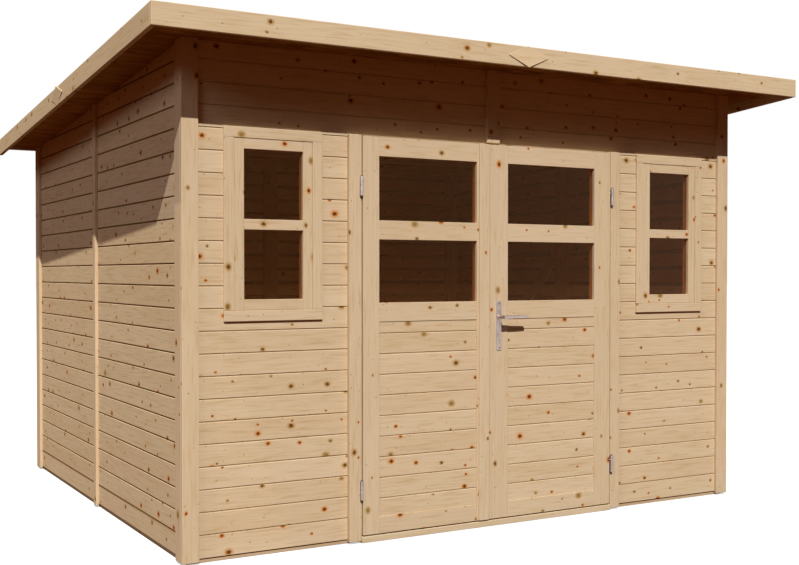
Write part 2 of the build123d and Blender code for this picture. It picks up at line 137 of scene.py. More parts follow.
@dataclass(frozen=True)
class Plan:
    """The sizes that several sub-assemblies share."""

    half: float = 1.492
    front: float = -1.192
    back: float = 1.448
    middle: float = 0.128
    board: float = 0.019
    pitch: float = 0.092
    foot: float = 0.018
    lead: float = 0.045
    lower_rows: int = 19
    stud: float = 0.045
    seat: float = 0.0003
    doorway: float = 0.698
    lintel: float = 1.778
    roof_front: float = -1.478
    roof_half: float = 1.714
    deck_z: float = 2.138
    fall: float = 0.07115

    def deck(self, y: float) -> float:
        """The height of the deck's underside at y."""
        return self.deck_z - self.fall * (y - self.roof_front)

    def row_foot(self, row: int) -> float:
        """The height at which a row of boards starts."""
        return self.foot + (row + self.lead * (row > 0)) * self.pitch

    @property
    def slope(self) -> Vector:
        """The direction down the roof, from front to back."""
        return Vector((0, 1, -self.fall)).normalized()

    @property
    def up(self) -> Vector:
        """The normal of the roof."""
        return Vector((0, self.fall, 1)).normalized()

    @property
    def joint(self) -> float:
        """The height of the joint between the lower and the upper front panels."""
        return self.row_foot(self.lower_rows)


# Mesh tools


def lone(piece: Piece) -> None:
    """Selects one object and makes it active.

    Args:
        piece: The object.
    """
    bpy.ops.object.select_all(action="DESELECT")
    piece.select_set(True)
    bpy.context.view_layer.objects.active = piece


@contextmanager
def editing(piece: Piece) -> Iterator[None]:
    """Edit mode on one object, with nothing selected at its start.

    Args:
        piece: The mesh object to edit.
    """
    lone(piece)
    bpy.ops.object.mode_set(mode="EDIT")
    bpy.ops.mesh.select_all(action="DESELECT")
    yield
    bpy.ops.object.mode_set(mode="OBJECT")


def pick_faces(piece: Piece, way: Vector) -> None:
    """Selects the faces that look one way, in edit mode.

    Args:
        piece: The mesh object in edit mode.
        way: The unit direction that the faces look in.
    """
    bpy.ops.mesh.select_mode(type="FACE")
    for face in bmesh.from_edit_mesh(piece.data).faces:
        face.select_set(face.normal.dot(way) > 0.7)
    bmesh.update_edit_mesh(piece.data)


def pick_edges(piece: Piece, test: Test) -> None:
    """Selects the edges whose middle and direction pass a test, in edit mode.

    Args:
        piece: The mesh object in edit mode.
        test: Called with an edge's middle and unit direction.
    """
    bpy.ops.mesh.select_mode(type="EDGE")
    for edge in bmesh.from_edit_mesh(piece.data).edges:
        start, end = (v.co for v in edge.verts)
        edge.select_set(test((start + end) / 2, (end - start).normalized()))
    bmesh.update_edit_mesh(piece.data)


def pull(offset: Place) -> None:
    """Extrudes the selected faces by an offset."""
    bpy.ops.mesh.extrude_region_move(TRANSFORM_OT_translate={"value": offset})


def cube(one: Place, other: Place) -> Piece:
    """A plain block, the start of a piece.

    Args:
        one: One corner.
        other: The opposite corner.

    Returns:
        The new object.
    """
    low, high = Vector(map(min, one, other)), Vector(map(max, one, other))
    bpy.ops.object.select_all(action="DESELECT")
    bpy.ops.mesh.primitive_cube_add(size=1, calc_uvs=False, location=(low + high) / 2, scale=high - low)
    bpy.ops.object.transform_apply()
    return bpy.context.active_object


def rod(foot: Vector, direction: Vector, radius: float, length: float, sides: int) -> Piece:
    """A plain round bar, the start of a piece.

    Args:
        foot: The middle of its first end.
        direction: The unit direction of its length.
        radius: Its radius.
        length: Its length.
        sides: How many faces go round it.

    Returns:
        The new object.
    """
    bpy.ops.object.select_all(action="DESELECT")
    bpy.ops.mesh.primitive_cylinder_add(
        vertices=sides,
        radius=radius,
        depth=length,
        calc_uvs=False,
        location=foot + direction * (length / 2),
        rotation=direction.to_track_quat("Z", "Y").to_euler(),
    )
    bpy.ops.object.transform_apply()
    return bpy.context.active_object


def ease(piece: Piece, width: float, segments: int = 2, test: Test | None = None) -> None:
    """Rounds edges of a piece.

    Args:
        piece: The mesh object.
        width: The width of the rounding.
        segments: How many faces make it.
        test: Picks the edges, all of them where it is left out.
    """
    with editing(piece):
        if test:
            pick_edges(piece, test)
        else:
            bpy.ops.mesh.select_all(action="SELECT")
        bpy.ops.mesh.bevel(offset=width, segments=segments, affect="EDGES")


def cut(piece: Piece, point: Place, normal: Vector) -> None:
    """Takes away what lies beyond a plane and closes the cut.

    Args:
        piece: The mesh object.
        point: A point on the plane.
        normal: Points to the side that goes.
    """
    with editing(piece):
        bpy.ops.mesh.select_all(action="SELECT")
        bpy.ops.mesh.bisect(plane_co=point, plane_no=normal, use_fill=True, clear_outer=True)


def finish_with(piece: Piece, kind: str, **settings: Any) -> None:
    """Adds a modifier and applies it.

    Args:
        piece: The mesh object.
        kind: The modifier's type.
        settings: The modifier's own settings.
    """
    lone(piece)
    modifier = piece.modifiers.new(kind.title(), kind)
    for key, value in settings.items():
        setattr(modifier, key, value)
    bpy.ops.object.modifier_apply(modifier=modifier.name)


def carve(piece: Piece, tool: Piece) -> None:
    """Cuts one shape out of another and removes the tool."""
    finish_with(piece, "BOOLEAN", object=tool, operation="DIFFERENCE", solver="EXACT")
    bpy.data.objects.remove(tool)


def join(name: str, parts: Sequence[Piece]) -> Piece:
    """Makes one piece of several.

    Args:
        name: The name of the new piece.
        parts: Its parts, which it takes up.

    Returns:
        The joined piece.
    """
    lone(parts[0])
    for part in parts:
        part.select_set(True)
    if len(parts) > 1:
        bpy.ops.object.join()
    parts[0].name = parts[0].data.name = name
    return parts[0]


def smooth(*pieces: Piece) -> list[Piece]:
    """Shades pieces smooth between faces that meet at less than 30 degrees.

    Args:
        pieces: The mesh objects.

    Returns:
        The same pieces.
    """
    for piece in pieces:
        lone(piece)
        bpy.ops.object.shade_smooth_by_angle(angle=math.radians(30))
    return list(pieces)


def places_of(piece: Piece) -> np.ndarray:
    """Reads the places of a piece's vertices.

    Args:
        piece: The mesh object.

    Returns:
        One row for each vertex.
    """
    places = np.empty(len(piece.data.vertices) * 3)
    piece.data.vertices.foreach_get("co", places)
    return places.reshape(-1, 3)


# Materials


class Graph:
    """A node tree written as calls."""

    def __init__(self, tree: bpy.types.NodeTree) -> None:
        """Starts on an empty or a new tree."""
        self.tree = tree

    def feed(self, node: Node, wires: dict[Any, Any]) -> Node:
        """Sets a node's inputs.

        Args:
            node: The node.
            wires: A value or another node's output for each input.

        Returns:
            The node.
        """
        for key, value in wires.items():
            socket = node.inputs[key]
            if isinstance(value, Socket):
                self.tree.links.new(value, socket)
            else:
                socket.default_value = (*value, 1.0) if socket.type == "RGBA" else value
        return node

    def add(self, kind: str, wires: dict[Any, Any] | None = None, **settings: Any) -> Node:
        """Adds a node.

        Args:
            kind: The node's type, without its ShaderNode prefix.
            wires: A value or another node's output for each input.
            settings: The node's own settings.

        Returns:
            The new node.
        """
        node = self.tree.nodes.new("ShaderNode" + kind)
        for key, value in settings.items():
            setattr(node, key, value)
        return self.feed(node, wires or {})

    def math(self, operation: str, *values: Any) -> Socket:
        """One step of arithmetic."""
        return self.add("Math", dict(enumerate(values)), operation=operation).outputs[0]

    def times(self, first: Any, second: Any) -> Socket:
        """The product of two values."""
        return self.math("MULTIPLY", first, second)

    def minus(self, first: Any, second: Any) -> Socket:
        """The difference of two values."""
        return self.math("SUBTRACT", first, second)

    def line(self, value: Any, slope: Any, start: Any) -> Socket:
        """A value times a slope, and a start added."""
        return self.math("MULTIPLY_ADD", value, slope, start)

    def blend(self, factor: Any, first: Any, second: Any) -> Socket:
        """Two colours mixed by a factor."""
        return self.add("Mix", {0: factor, 6: first, 7: second}, data_type="RGBA").outputs[2]

    def ramp(self, value: Any, low: float, high: float) -> Socket:
        """A value taken smoothly from 0 at low to 1 at high."""
        wires = dict(enumerate((value, low, high, 0.0, 1.0)))
        return self.add("MapRange", wires, interpolation_type="SMOOTHSTEP").outputs[0]

    def bell(self, value: Any) -> Socket:
        """The bell curve exp(-value * value)."""
        return self.math("EXPONENT", self.times(self.times(value, value), -1.0))

    def vector(self, *parts: Any) -> Socket:
        """A vector from its parts."""
        return self.add("CombineXYZ", dict(enumerate(parts))).outputs[0]

    def split(self, vector: Any) -> tuple[Socket, ...]:
        """The three parts of a vector."""
        return tuple(self.add("SeparateXYZ", {0: vector}).outputs)

    def noise(self, parts: Sequence[Any], scales: tuple[float, ...], detail: float) -> Socket:
        """Smooth noise.

        Args:
            parts: The two or three parts of the place.
            scales: How fine the noise is along each part.
            detail: How many finer layers it has.

        Returns:
            Its value, about 0.5 in the middle.
        """
        place = self.vector(*(self.times(part, scale) for part, scale in zip(parts, scales)))
        wires = {"Vector": place, "Scale": 1.0, "Detail": detail, "Roughness": 0.55}
        return self.add("TexNoise", wires, noise_dimensions=f"{len(scales)}D").outputs["Fac"]

    def cells(
        self, u: Socket, v: Socket, run: float, across: float
    ) -> tuple[Socket, Socket, tuple[Socket, ...]]:
        """Scattered spots, one in each cell of a jittered grid.

        Args:
            u: The place along the grain.
            v: The place across it.
            run: How far apart the spots are along the grain.
            across: How far apart they are across it.

        Returns:
            How far away the nearest spot is along and across, and three random values of its own.
        """
        cell_u, cell_v = self.times(u, 1 / run), self.times(v, 1 / across)
        wires = {"Vector": self.vector(cell_u, cell_v, 0.0), "Scale": 1.0}
        spots = self.add("TexVoronoi", wires, voronoi_dimensions="2D").outputs
        spot_u, spot_v, _ = self.split(spots["Position"])
        off_u = self.times(self.minus(cell_u, spot_u), run)
        off_v = self.times(self.minus(cell_v, spot_v), across)
        return off_u, off_v, self.split(spots["Color"])

    def length(self, x: Socket, y: Socket) -> Socket:
        """The length of a vector in the plane."""
        return self.math("SQRT", self.math("ADD", self.times(x, x), self.times(y, y)))

    def bump(self, height: Any, depth: float, strength: float = 1.0) -> Socket:
        """The normal that a height gives."""
        return self.add("Bump", {"Height": height, "Distance": depth, "Strength": strength}).outputs[0]

    def worn(self, wear: bpy.types.NodeTree, cloud: float, speck: float) -> tuple[Socket, Any]:
        """Wear on Object coordinates.

        Args:
            wear: The wear group.
            cloud: How fine its clouds are.
            speck: How fine its specks are.

        Returns:
            The coordinates and the group's outputs.
        """
        spot = self.add("TexCoord").outputs["Object"]
        wires = {"Place": spot, "Cloud size": cloud, "Speck size": speck}
        return spot, self.add("Group", wires, node_tree=wear).outputs


def new_group(name: str, inputs: dict[str, str], outputs: dict[str, str]) -> tuple[Graph, Any, Node]:
    """Starts a shader node group.

    Args:
        name: The group's name.
        inputs: The kind of each input by name, as in Color or Float.
        outputs: The kind of each output by name.

    Returns:
        The graph, the group's input sockets and its output node.
    """
    tree = bpy.data.node_groups.new(name, "ShaderNodeTree")
    for names, way in ((inputs, "INPUT"), (outputs, "OUTPUT")):
        for label, kind in names.items():
            tree.interface.new_socket(label, in_out=way, socket_type="NodeSocket" + kind)
    return Graph(tree), tree.nodes.new("NodeGroupInput").outputs, tree.nodes.new("NodeGroupOutput")


@dataclass(frozen=True)
class Knots:
    """How far apart knots grow, how large they are and what colours they have."""

    run: float = 0.135
    across: float = 0.105
    squeeze: float = 0.8
    reach: float = 0.36
    sway: float = 0.9
    least: float = 0.0030
    most: float = 0.0085
    ragged: float = 0.007
    pin_run: float = 0.075
    pin_across: float = 0.05
    pin_least: float = 0.0012
    pin_spread: float = 0.0024
    pin: Colour = (0.28, 0.14, 0.05)
    brown: Colour = (0.13, 0.058, 0.016)
    red: Colour = (0.12, 0.036, 0.008)
    pale: Colour = (0.30, 0.19, 0.07)
    fleck: Colour = (0.26, 0.10, 0.035)
    brown_glow: Colour = (0.46, 0.27, 0.085)
    red_glow: Colour = (0.62, 0.22, 0.045)
    rim: Colour = (0.13, 0.045, 0.012)


@dataclass(frozen=True)
class Grain:
    """How fine the layers of the grain are, along and across it, and how much each darkens the wood."""

    fine: tuple[float, float] = (11.0, 260.0)
    streak: tuple[float, float] = (6.5, 105.0)
    ring: tuple[float, float] = (0.55, 8.0)
    cloud: tuple[float, float] = (1.4, 9.0)
    rings: float = 62.0
    ring_share: float = 0.10
    streak_share: float = 0.46
    fine_share: float = 0.22
    cloud_share: float = 0.14
    board_share: float = 0.22
    flush_share: float = 0.14
    flush: Colour = (0.66, 0.43, 0.29)
    # The width and colour of the painted shade in the V between matched boards
    seam_width: float = 0.0020
    dust_and_groove_shade: Colour = (0.19, 0.09, 0.022)


def spruce_group(knots: Knots, grain: Grain) -> bpy.types.NodeTree:
    """Knotty spruce on the Grain map, u along the grain and a whole number of v for each board.

    Args:
        knots: How knots grow.
        grain: How the wood between them looks.

    Returns:
        A group with Color, Roughness and Height.
    """
    inputs = {"Grain": "Vector", "Light": "Color", "Dark": "Color", "Knots": "Float", "Contrast": "Float"}
    outputs = {"Color": "Color", "Roughness": "Float", "Height": "Float"}
    g, start, end = new_group("Spruce", {**inputs, "Seam": "Float", "Shade": "Float"}, outputs)
    u, v, _ = g.split(start["Grain"])
    board = g.add("TexWhiteNoise", {"W": g.math("FLOOR", v)}, noise_dimensions="1D")
    shade, pink, _ = g.split(board.outputs["Color"])

    # Knots, one at the middle of some of the cells
    off_u, off_v, (luck, girth, hue) = g.cells(u, v, knots.run, knots.across)
    ragged = g.times(g.noise((u, v), (150.0, 150.0), 1.0), knots.ragged)
    away = g.length(g.times(off_u, knots.squeeze), off_v)
    away = g.math("ADD", away, g.minus(ragged, knots.ragged / 2))
    radius = g.line(g.math("POWER", girth, 1.8), knots.most - knots.least, knots.least)
    grown = g.math("LESS_THAN", luck, start["Knots"])
    ratio = g.math("DIVIDE", away, radius)
    core = g.times(g.ramp(ratio, 1.1, 0.7), grown)
    rim = g.times(g.bell(g.times(g.minus(ratio, 0.95), 3.5)), grown)
    halo = g.times(g.ramp(ratio, 2.7, 0.95), grown)

    # The grain flows round each knot
    push = g.times(g.bell(g.times(ratio, knots.reach)), grown)
    flow = g.minus(v, g.times(g.times(off_v, push), knots.sway))
    fine = g.noise((u, flow), grain.fine, 2.0)
    streak = g.noise((u, flow), grain.streak, 3.0)
    rings = g.math("SINE", g.times(g.noise((u, flow), grain.ring, 1.0), grain.rings))
    late = g.math("POWER", g.ramp(rings, -0.6, 1.0), 3.0)
    cloud = g.noise((u, v), grain.cloud, 2.0)

    depth = g.times(late, grain.ring_share)
    depth = g.line(g.ramp(streak, 0.48, 0.78), grain.streak_share, depth)
    depth = g.line(fine, grain.fine_share, depth)
    depth = g.line(g.ramp(cloud, 0.35, 0.75), grain.cloud_share, depth)
    depth = g.line(shade, grain.board_share, depth)
    colour = g.blend(g.times(depth, start["Contrast"]), start["Light"], start["Dark"])
    colour = g.blend(g.times(pink, grain.flush_share), colour, grain.flush)

    # Pin knots, small and pale brown
    off_u, off_v, (luck, girth, _) = g.cells(u, v, knots.pin_run, knots.pin_across)
    radius = g.line(girth, knots.pin_spread, knots.pin_least)
    pin = g.ramp(g.math("DIVIDE", g.length(off_u, off_v), radius), 1.3, 0.5)
    pin = g.times(pin, g.math("LESS_THAN", luck, g.times(start["Knots"], 0.6)))
    colour = g.blend(g.times(pin, 0.8), colour, knots.pin)

    red = g.ramp(hue, 0.45, 0.6)
    heart = g.blend(red, knots.brown, knots.red)
    heart = g.blend(g.ramp(hue, 0.22, 0.12), heart, knots.pale)
    heart = g.blend(g.times(g.ramp(fine, 0.35, 0.8), 0.3), heart, knots.fleck)
    colour = g.blend(g.times(halo, 0.92), colour, g.blend(red, knots.brown_glow, knots.red_glow))
    colour = g.blend(core, colour, heart)
    colour = g.blend(g.times(rim, 0.3), colour, knots.rim)

    # The V between matched boards, darkened from Seam outwards with painted shade
    middle = g.math("ABSOLUTE", g.minus(g.math("FRACT", v), 0.5))
    inner = g.minus(start["Seam"], grain.seam_width / 2)
    seam = g.ramp(g.math("DIVIDE", g.minus(middle, inner), grain.seam_width), 0.0, 1.0)
    colour = g.blend(g.times(seam, start["Shade"]), colour, grain.dust_and_groove_shade)

    rough = g.minus(g.line(fine, 0.16, 0.52), g.times(core, 0.16))
    height = g.line(core, 0.5, g.line(late, 0.35, g.times(fine, 0.3)))
    g.feed(end, {"Color": colour, "Roughness": rough, "Height": height})
    return g.tree


def worn_group() -> bpy.types.NodeTree:
    """Slow clouds and fine specks for metal, felt and glass, on Object coordinates.

    Returns:
        A group with Cloud, Speck and Brush values from 0 to 1.
    """
    inputs = {"Place": "Vector", "Cloud size": "Float", "Speck size": "Float"}
    g, start, end = new_group("Wear", inputs, dict.fromkeys(("Cloud", "Speck", "Brush"), "Float"))
    for label, detail, low, high in (("Cloud", 4.0, 0.3, 0.7), ("Speck", 2.0, 0.35, 0.65)):
        wires = {"Vector": start["Place"], "Scale": start[f"{label} size"], "Detail": detail}
        g.feed(end, {label: g.ramp(g.add("TexNoise", wires).outputs["Fac"], low, high)})
    g.feed(end, {"Brush": g.noise(g.split(start["Place"]), (1400.0, 1400.0, 30.0), 2.0)})
    return g.tree


@dataclass(frozen=True)
class Finish:
    """A finish, whose kinds each wire up a shader of their own."""

    name: str

    def wire(self, g: Graph, shader: Node, group: bpy.types.NodeTree) -> None:
        """Wires up the shader, which every kind of finish does its own way."""
        raise NotImplementedError

    def material(self, group: bpy.types.NodeTree) -> bpy.types.Material:
        """Makes the material.

        Args:
            group: The spruce group or the wear group.

        Returns:
            The new material.
        """
        material = bpy.data.materials.new(self.name)
        material.use_nodes = True
        self.wire(Graph(material.node_tree), material.node_tree.nodes["Principled BSDF"], group)
        return material


@dataclass(frozen=True)
class Spruce(Finish):
    """Planed or sawn spruce."""

    light: Colour
    dark: Colour
    knots: float = 0.5
    contrast: float = 1.0
    # Where the painted shade in the V between boards starts, as a distance from a board's middle, and how
    # dark it is
    seam: float = 1.0
    shade: float = 0.0
    relief: float = 0.0004

    def wire(self, g: Graph, shader: Node, group: bpy.types.NodeTree) -> None:
        """Wood on the Grain map, without gloss.

        Args:
            g: The material's graph.
            shader: Its shader.
            group: The spruce group.
        """
        grain = g.add("UVMap", uv_map=GRAIN_MAP).outputs[0]
        wires = {"Grain": grain, "Light": self.light, "Dark": self.dark, "Knots": self.knots}
        wires |= {"Contrast": self.contrast, "Seam": self.seam, "Shade": self.shade}
        wood = g.add("Group", wires, node_tree=group).outputs
        normal = g.bump(wood["Height"], self.relief, 0.6)
        looks = {"Base Color": wood["Color"], "Roughness": wood["Roughness"], "Normal": normal}
        g.feed(shader, {**looks, "Specular IOR Level": 0.0})


@dataclass(frozen=True)
class StrandBoard(Finish):
    """Pressed strand board for the roof's deck, its strands along X."""

    name: str = "Strand board"
    pale: Colour = (0.54, 0.28, 0.075)
    deep: Colour = (0.22, 0.10, 0.022)
    layers: tuple[tuple[float, float, float], ...] = (
        (0.10, 7.0, 34.0),
        (-0.16, 9.0, 42.0),
        (0.02, 5.0, 60.0),
    )

    def wire(self, g: Graph, shader: Node, group: bpy.types.NodeTree) -> None:
        """Layers of strands, each a little turned.

        Args:
            g: The material's graph.
            shader: Its shader.
            group: The wear group.
        """
        spot, wear = g.worn(group, 3.0, 160.0)
        colour, height = self.pale, 0.0
        for turn, long, wide in self.layers:
            wires = {"Vector": spot, "Rotation": (0, 0, turn), "Scale": (long, wide, 20.0)}
            wires = {"Vector": g.add("Mapping", wires).outputs[0], "Scale": 1.0}
            strands = g.add("TexVoronoi", wires, voronoi_dimensions="2D")
            tone, luck, _ = g.split(strands.outputs["Color"])
            show = g.ramp(luck, 0.42, 0.5)
            colour = g.blend(show, colour, g.blend(tone, self.deep, self.pale))
            height = g.line(show, 0.5, height)
        for label, share in (("Cloud", 0.35), ("Speck", 0.22)):
            colour = g.blend(g.times(wear[label], share), colour, self.deep)
        looks = {"Base Color": colour, "Roughness": g.line(wear["Speck"], 0.15, 0.7)}
        g.feed(shader, {**looks, "Normal": g.bump(height, 0.0008), "Specular IOR Level": 0.0})


@dataclass(frozen=True)
class MineralFelt(Finish):
    """Mineral-faced roofing felt."""

    name: str = "Mineral felt"
    grit: Colour = (0.085, 0.088, 0.092)
    base: Colour = (0.030, 0.031, 0.034)
    dust_and_groove_shade: Colour = (0.11, 0.105, 0.095)

    def wire(self, g: Graph, shader: Node, group: bpy.types.NodeTree) -> None:
        """Grit on a dark base, dusty in clouds.

        Args:
            g: The material's graph.
            shader: Its shader.
            group: The wear group.
        """
        _, wear = g.worn(group, 2.2, 900.0)
        colour = g.blend(wear["Speck"], self.base, self.grit)
        colour = g.blend(g.times(wear["Cloud"], 0.4), colour, self.dust_and_groove_shade)
        looks = {"Base Color": colour, "Roughness": g.line(wear["Speck"], 0.1, 0.8)}
        g.feed(shader, {**looks, "Normal": g.bump(wear["Speck"], 0.0006)})


@dataclass(frozen=True)
class Steel(Finish):
    """Satin steel, brushed along Z."""

    bright: Colour
    dull: Colour
    rough: float

    def wire(self, g: Graph, shader: Node, group: bpy.types.NodeTree) -> None:
        """Clouds of two greys and fine brush marks.

        Args:
            g: The material's graph.
            shader: Its shader.
            group: The wear group.
        """
        _, wear = g.worn(group, 22.0, 400.0)
        colour = g.blend(wear["Cloud"], self.bright, self.dull)
        looks = {"Base Color": colour, "Roughness": g.line(wear["Brush"], 0.2, self.rough)}
        g.feed(shader, {**looks, "Normal": g.bump(wear["Brush"], 0.00004), "Metallic": 1.0})


@dataclass(frozen=True)
class Pane(Finish):
    """Float glass, through which shadow rays and diffuse rays go straight."""

    name: str = "Float glass"
    tint: Colour = (0.95, 0.80, 0.60)
    film: Colour = (0.90, 0.74, 0.54)
    gleam: Colour = (1.0, 0.42, 0.14)
    clear: Colour = (0.95, 0.73, 0.45)
    shade: Colour = (0.42, 0.38, 0.33)

    def wire(self, g: Graph, shader: Node, group: bpy.types.NodeTree) -> None:
        """Glass with a thin film of dust, and plain tints for the rays that go straight.

        Args:
            g: The material's graph.
            shader: Its shader.
            group: The wear group.
        """
        _, wear = g.worn(group, 7.0, 60.0)
        colour = g.blend(wear["Cloud"], self.tint, self.film)
        looks = {"Base Color": colour, "Roughness": g.times(wear["Cloud"], 0.03)}
        g.feed(shader, {**looks, "Transmission Weight": 1.0, "IOR": 1.30, "Specular Tint": self.gleam})
        path = g.add("LightPath").outputs
        seen = shader
        for ray, tint in (("Is Diffuse Ray", self.clear), ("Is Shadow Ray", self.shade)):
            straight = g.add("BsdfTransparent", {"Color": tint})
            seen = g.add("MixShader", {0: path[ray], 1: seen.outputs[0], 2: straight.outputs[0]})
        g.feed(g.tree.nodes["Material Output"], {"Surface": seen.outputs[0]})


class Finishes:
    """Every finish of the shed, made once."""

    def __init__(self) -> None:
        """Makes the shared groups and the materials."""
        spruce, wear = spruce_group(Knots(), Grain()), worn_group()
        wall = ((0.685, 0.535, 0.350), (0.50, 0.345, 0.170), 0.60, 1.0)
        trim = ((0.675, 0.530, 0.350), (0.51, 0.360, 0.185), 0.50)
        door = ((0.665, 0.520, 0.340), (0.50, 0.350, 0.180), 0.46, 0.9)
        timber = ((0.60, 0.44, 0.27), (0.42, 0.27, 0.13), 0.45)
        satin = ((0.43, 0.35, 0.33), (0.31, 0.25, 0.24), 0.30)
        black = ((0.05, 0.05, 0.055), (0.10, 0.095, 0.09), 0.45)
        # Both wall copies paint shade into the V between boards; the side walls' copy paints it wider and
        # darker, as grazing key light leaves those grooves in shade
        self.wall = Spruce("Wall spruce", *wall, seam=0.0440, shade=0.30).material(spruce)
        self.side = Spruce("Side spruce", *wall, seam=0.0428, shade=0.85).material(spruce)
        self.trim = Spruce("Trim spruce", *trim).material(spruce)
        self.door = Spruce("Door spruce", *door).material(spruce)
        self.timber = Spruce("Stud spruce", *timber).material(spruce)
        self.strand = StrandBoard().material(wear)
        self.felt = MineralFelt().material(wear)
        self.steel = Steel("Satin steel", *satin).material(wear)
        self.dark_steel = Steel("Blackened steel", *black).material(wear)
        self.glass = Pane().material(wear)
        self.usual = {
            Slot.WALL: self.wall,
            Slot.TRIM: self.trim,
            Slot.TIMBER: self.timber,
            Slot.ROOF: self.strand,
            Slot.FELT: self.felt,
            Slot.DOOR: self.door,
            Slot.STEEL: self.steel,
        }


# Timber


class Joiner:
    """Cuts timber and lays its grain, so that no two boards look alike."""

    grain_length = 40.0
    allowance = 0.05

    def __init__(self, plan: Plan, seed: int) -> None:
        """Starts the count of boards.

        Args:
            plan: The shared sizes.
            seed: Where the boards' places in the grain come from.
        """
        self.plan = plan
        self.draw = random.Random(seed)
        self.count = 0

    def next_board(self) -> tuple[int, float]:
        """The number of a new board and where it starts in the grain."""
        self.count += 1
        return self.count, self.draw.uniform(0.0, self.grain_length)

    def lay_grain(self, piece: Piece, along: Vector) -> Piece:
        """Makes a piece a new board and writes its Grain map.

        Args:
            piece: The mesh object.
            along: The direction of its grain.

        Returns:
            The piece.
        """
        board, start = self.next_board()
        thin = min((X, Y, Z), key=lambda axis: abs(axis.dot(along)))
        wide = thin.cross(along).normalized()
        places = places_of(piece)
        across = places @ np.array(thin) + places @ np.array(wide)
        across = across - (across.min() + across.max()) / 2 + board + 0.5
        self.write_map(piece, places @ np.array(along) + start, across)
        return piece

    @staticmethod
    def write_map(piece: Piece, along: np.ndarray, across: np.ndarray) -> None:
        """Stores a place in the grain for every corner of a piece.

        Args:
            piece: The mesh object.
            along: Each vertex's place along the grain.
            across: Its place across the grain.
        """
        mesh = piece.data
        corners = np.empty(len(mesh.loops), int)
        mesh.loops.foreach_get("vertex_index", corners)
        layer = mesh.uv_layers.get(GRAIN_MAP) or mesh.uv_layers.new(name=GRAIN_MAP, do_init=False)
        layer.uv.foreach_set("vector", np.stack([along, across], 1)[corners].astype(np.float32).ravel())

    def sawn(self, one: Place, other: Place, along: Vector, rounding: float = EASE) -> Piece:
        """A length of timber, its edges eased.

        Args:
            one: One corner.
            other: The opposite corner.
            along: The direction of its grain.
            rounding: How far its edges are rounded.

        Returns:
            The new object.
        """
        piece = cube(one, other)
        ease(piece, rounding)
        return self.lay_grain(piece, along)

    def roofed(self, one: Place, other: Place) -> Piece:
        """An upright length whose top is cut to the roof.

        Args:
            one: One lower corner.
            other: The opposite corner, without a height.

        Returns:
            The new object.
        """
        piece = self.sawn(one, (*other, self.plan.deck(self.plan.front) + self.allowance), Z)
        self.cut_to_roof(piece)
        return piece

    def cut_to_roof(self, piece: Piece) -> None:
        """Takes away what is above the deck's underside."""
        y = self.plan.middle
        cut(piece, (0, y, self.plan.deck(y)), self.plan.up)

    def raked(
        self, x0: float, x1: float, y0: float, y1: float, bottom: float, top: float, along: Vector
    ) -> Piece:
        """A length that follows the roof.

        Args:
            x0: Its place across the shed at one side.
            x1: The same at the other side.
            y0: Its front.
            y1: Its back.
            bottom: Its underside's height above the deck's underside.
            top: Its top's height above the deck's underside.
            along: The direction of its grain.

        Returns:
            The new object.
        """
        plan, y = self.plan, (y0 + y1) / 2
        reach = (y1 - y0) / 2 + 2 * self.allowance
        piece = cube((x0, -reach, bottom * plan.up.z), (x1, reach, top * plan.up.z))
        rake = Matrix.Rotation(-math.atan(plan.fall), 4, "X")
        piece.data.transform(Matrix.Translation((0, y, plan.deck(y))) @ rake)
        cut(piece, (0, y0, 0), -Y)
        cut(piece, (0, y1, 0), Y)
        ease(piece, EASE)
        return self.lay_grain(piece, along)


class Matchboard:
    """Tongued and grooved boards with a V between them, modelled once and laid in rows."""

    upper_chamfer = 0.0022
    lower_chamfer = 0.0016
    gap = 0.0036
    tongue_from = 0.0030
    tongue_to = 0.0100
    tongue_root = 0.003
    tongue_height = 0.004
    tongue_bevel = 0.0012
    tongue_crown = 0.001

    def __init__(self, joiner: Joiner) -> None:
        """Models the master board.

        Args:
            joiner: Numbers the boards.
        """
        self.joiner = joiner
        self.pitch = joiner.plan.pitch
        self.master = self.model()
        self.master.hide_render = True
        self.places = places_of(self.master)

    def model(self) -> Piece:
        """One metre of board: X along it, Y into the wall and Z up.

        Returns:
            The master board, whose tongue closes the V above it.
        """
        top = self.pitch - self.gap
        board = cube((0, 0, 0), (1, self.joiner.plan.board, top))
        ease(board, self.upper_chamfer, 1, lambda at, way: abs(way.x) > 0.9 and at.y < 0.001 and at.z > 0.01)
        ease(board, self.lower_chamfer, 1, lambda at, way: abs(way.x) > 0.9 and at.y < 0.001 and at.z < 0.001)
        root, tip = top - self.tongue_root, self.pitch + self.tongue_height
        strip = cube((0, self.tongue_from, root), (1, self.tongue_to, tip))
        with editing(strip):
            pick_faces(strip, Z)
            bpy.ops.mesh.inset(thickness=self.tongue_bevel)
            pull((0, 0, self.tongue_crown))
        return join("board_master", [board, strip])

    def lay(
        self, matrix: Matrix, start: float, end: float, foot: float, number: tuple[int, float], tall: float
    ) -> Piece:
        """Lays one board or a part of one.

        Args:
            matrix: Takes the board's own frame to the shed's.
            start: Where it starts along the wall.
            end: Where it ends.
            foot: The height of its lower edge.
            number: Its number and its start in the grain.
            tall: Its height in pitches.

        Returns:
            The new object.
        """
        piece = self.master.copy()
        piece.data = self.master.data.copy()
        bpy.context.collection.objects.link(piece)
        size = Matrix.Diagonal((end - start, 1, tall, 1))
        piece.data.transform(matrix @ Matrix.Translation((start, 0, foot)) @ size)
        piece.hide_render = False
        x, y, z = self.places.T
        board, offset = number
        across = z * tall - self.pitch / 2 + y + board + 0.5
        Joiner.write_map(piece, start + x * (end - start) + offset, across)
        return piece


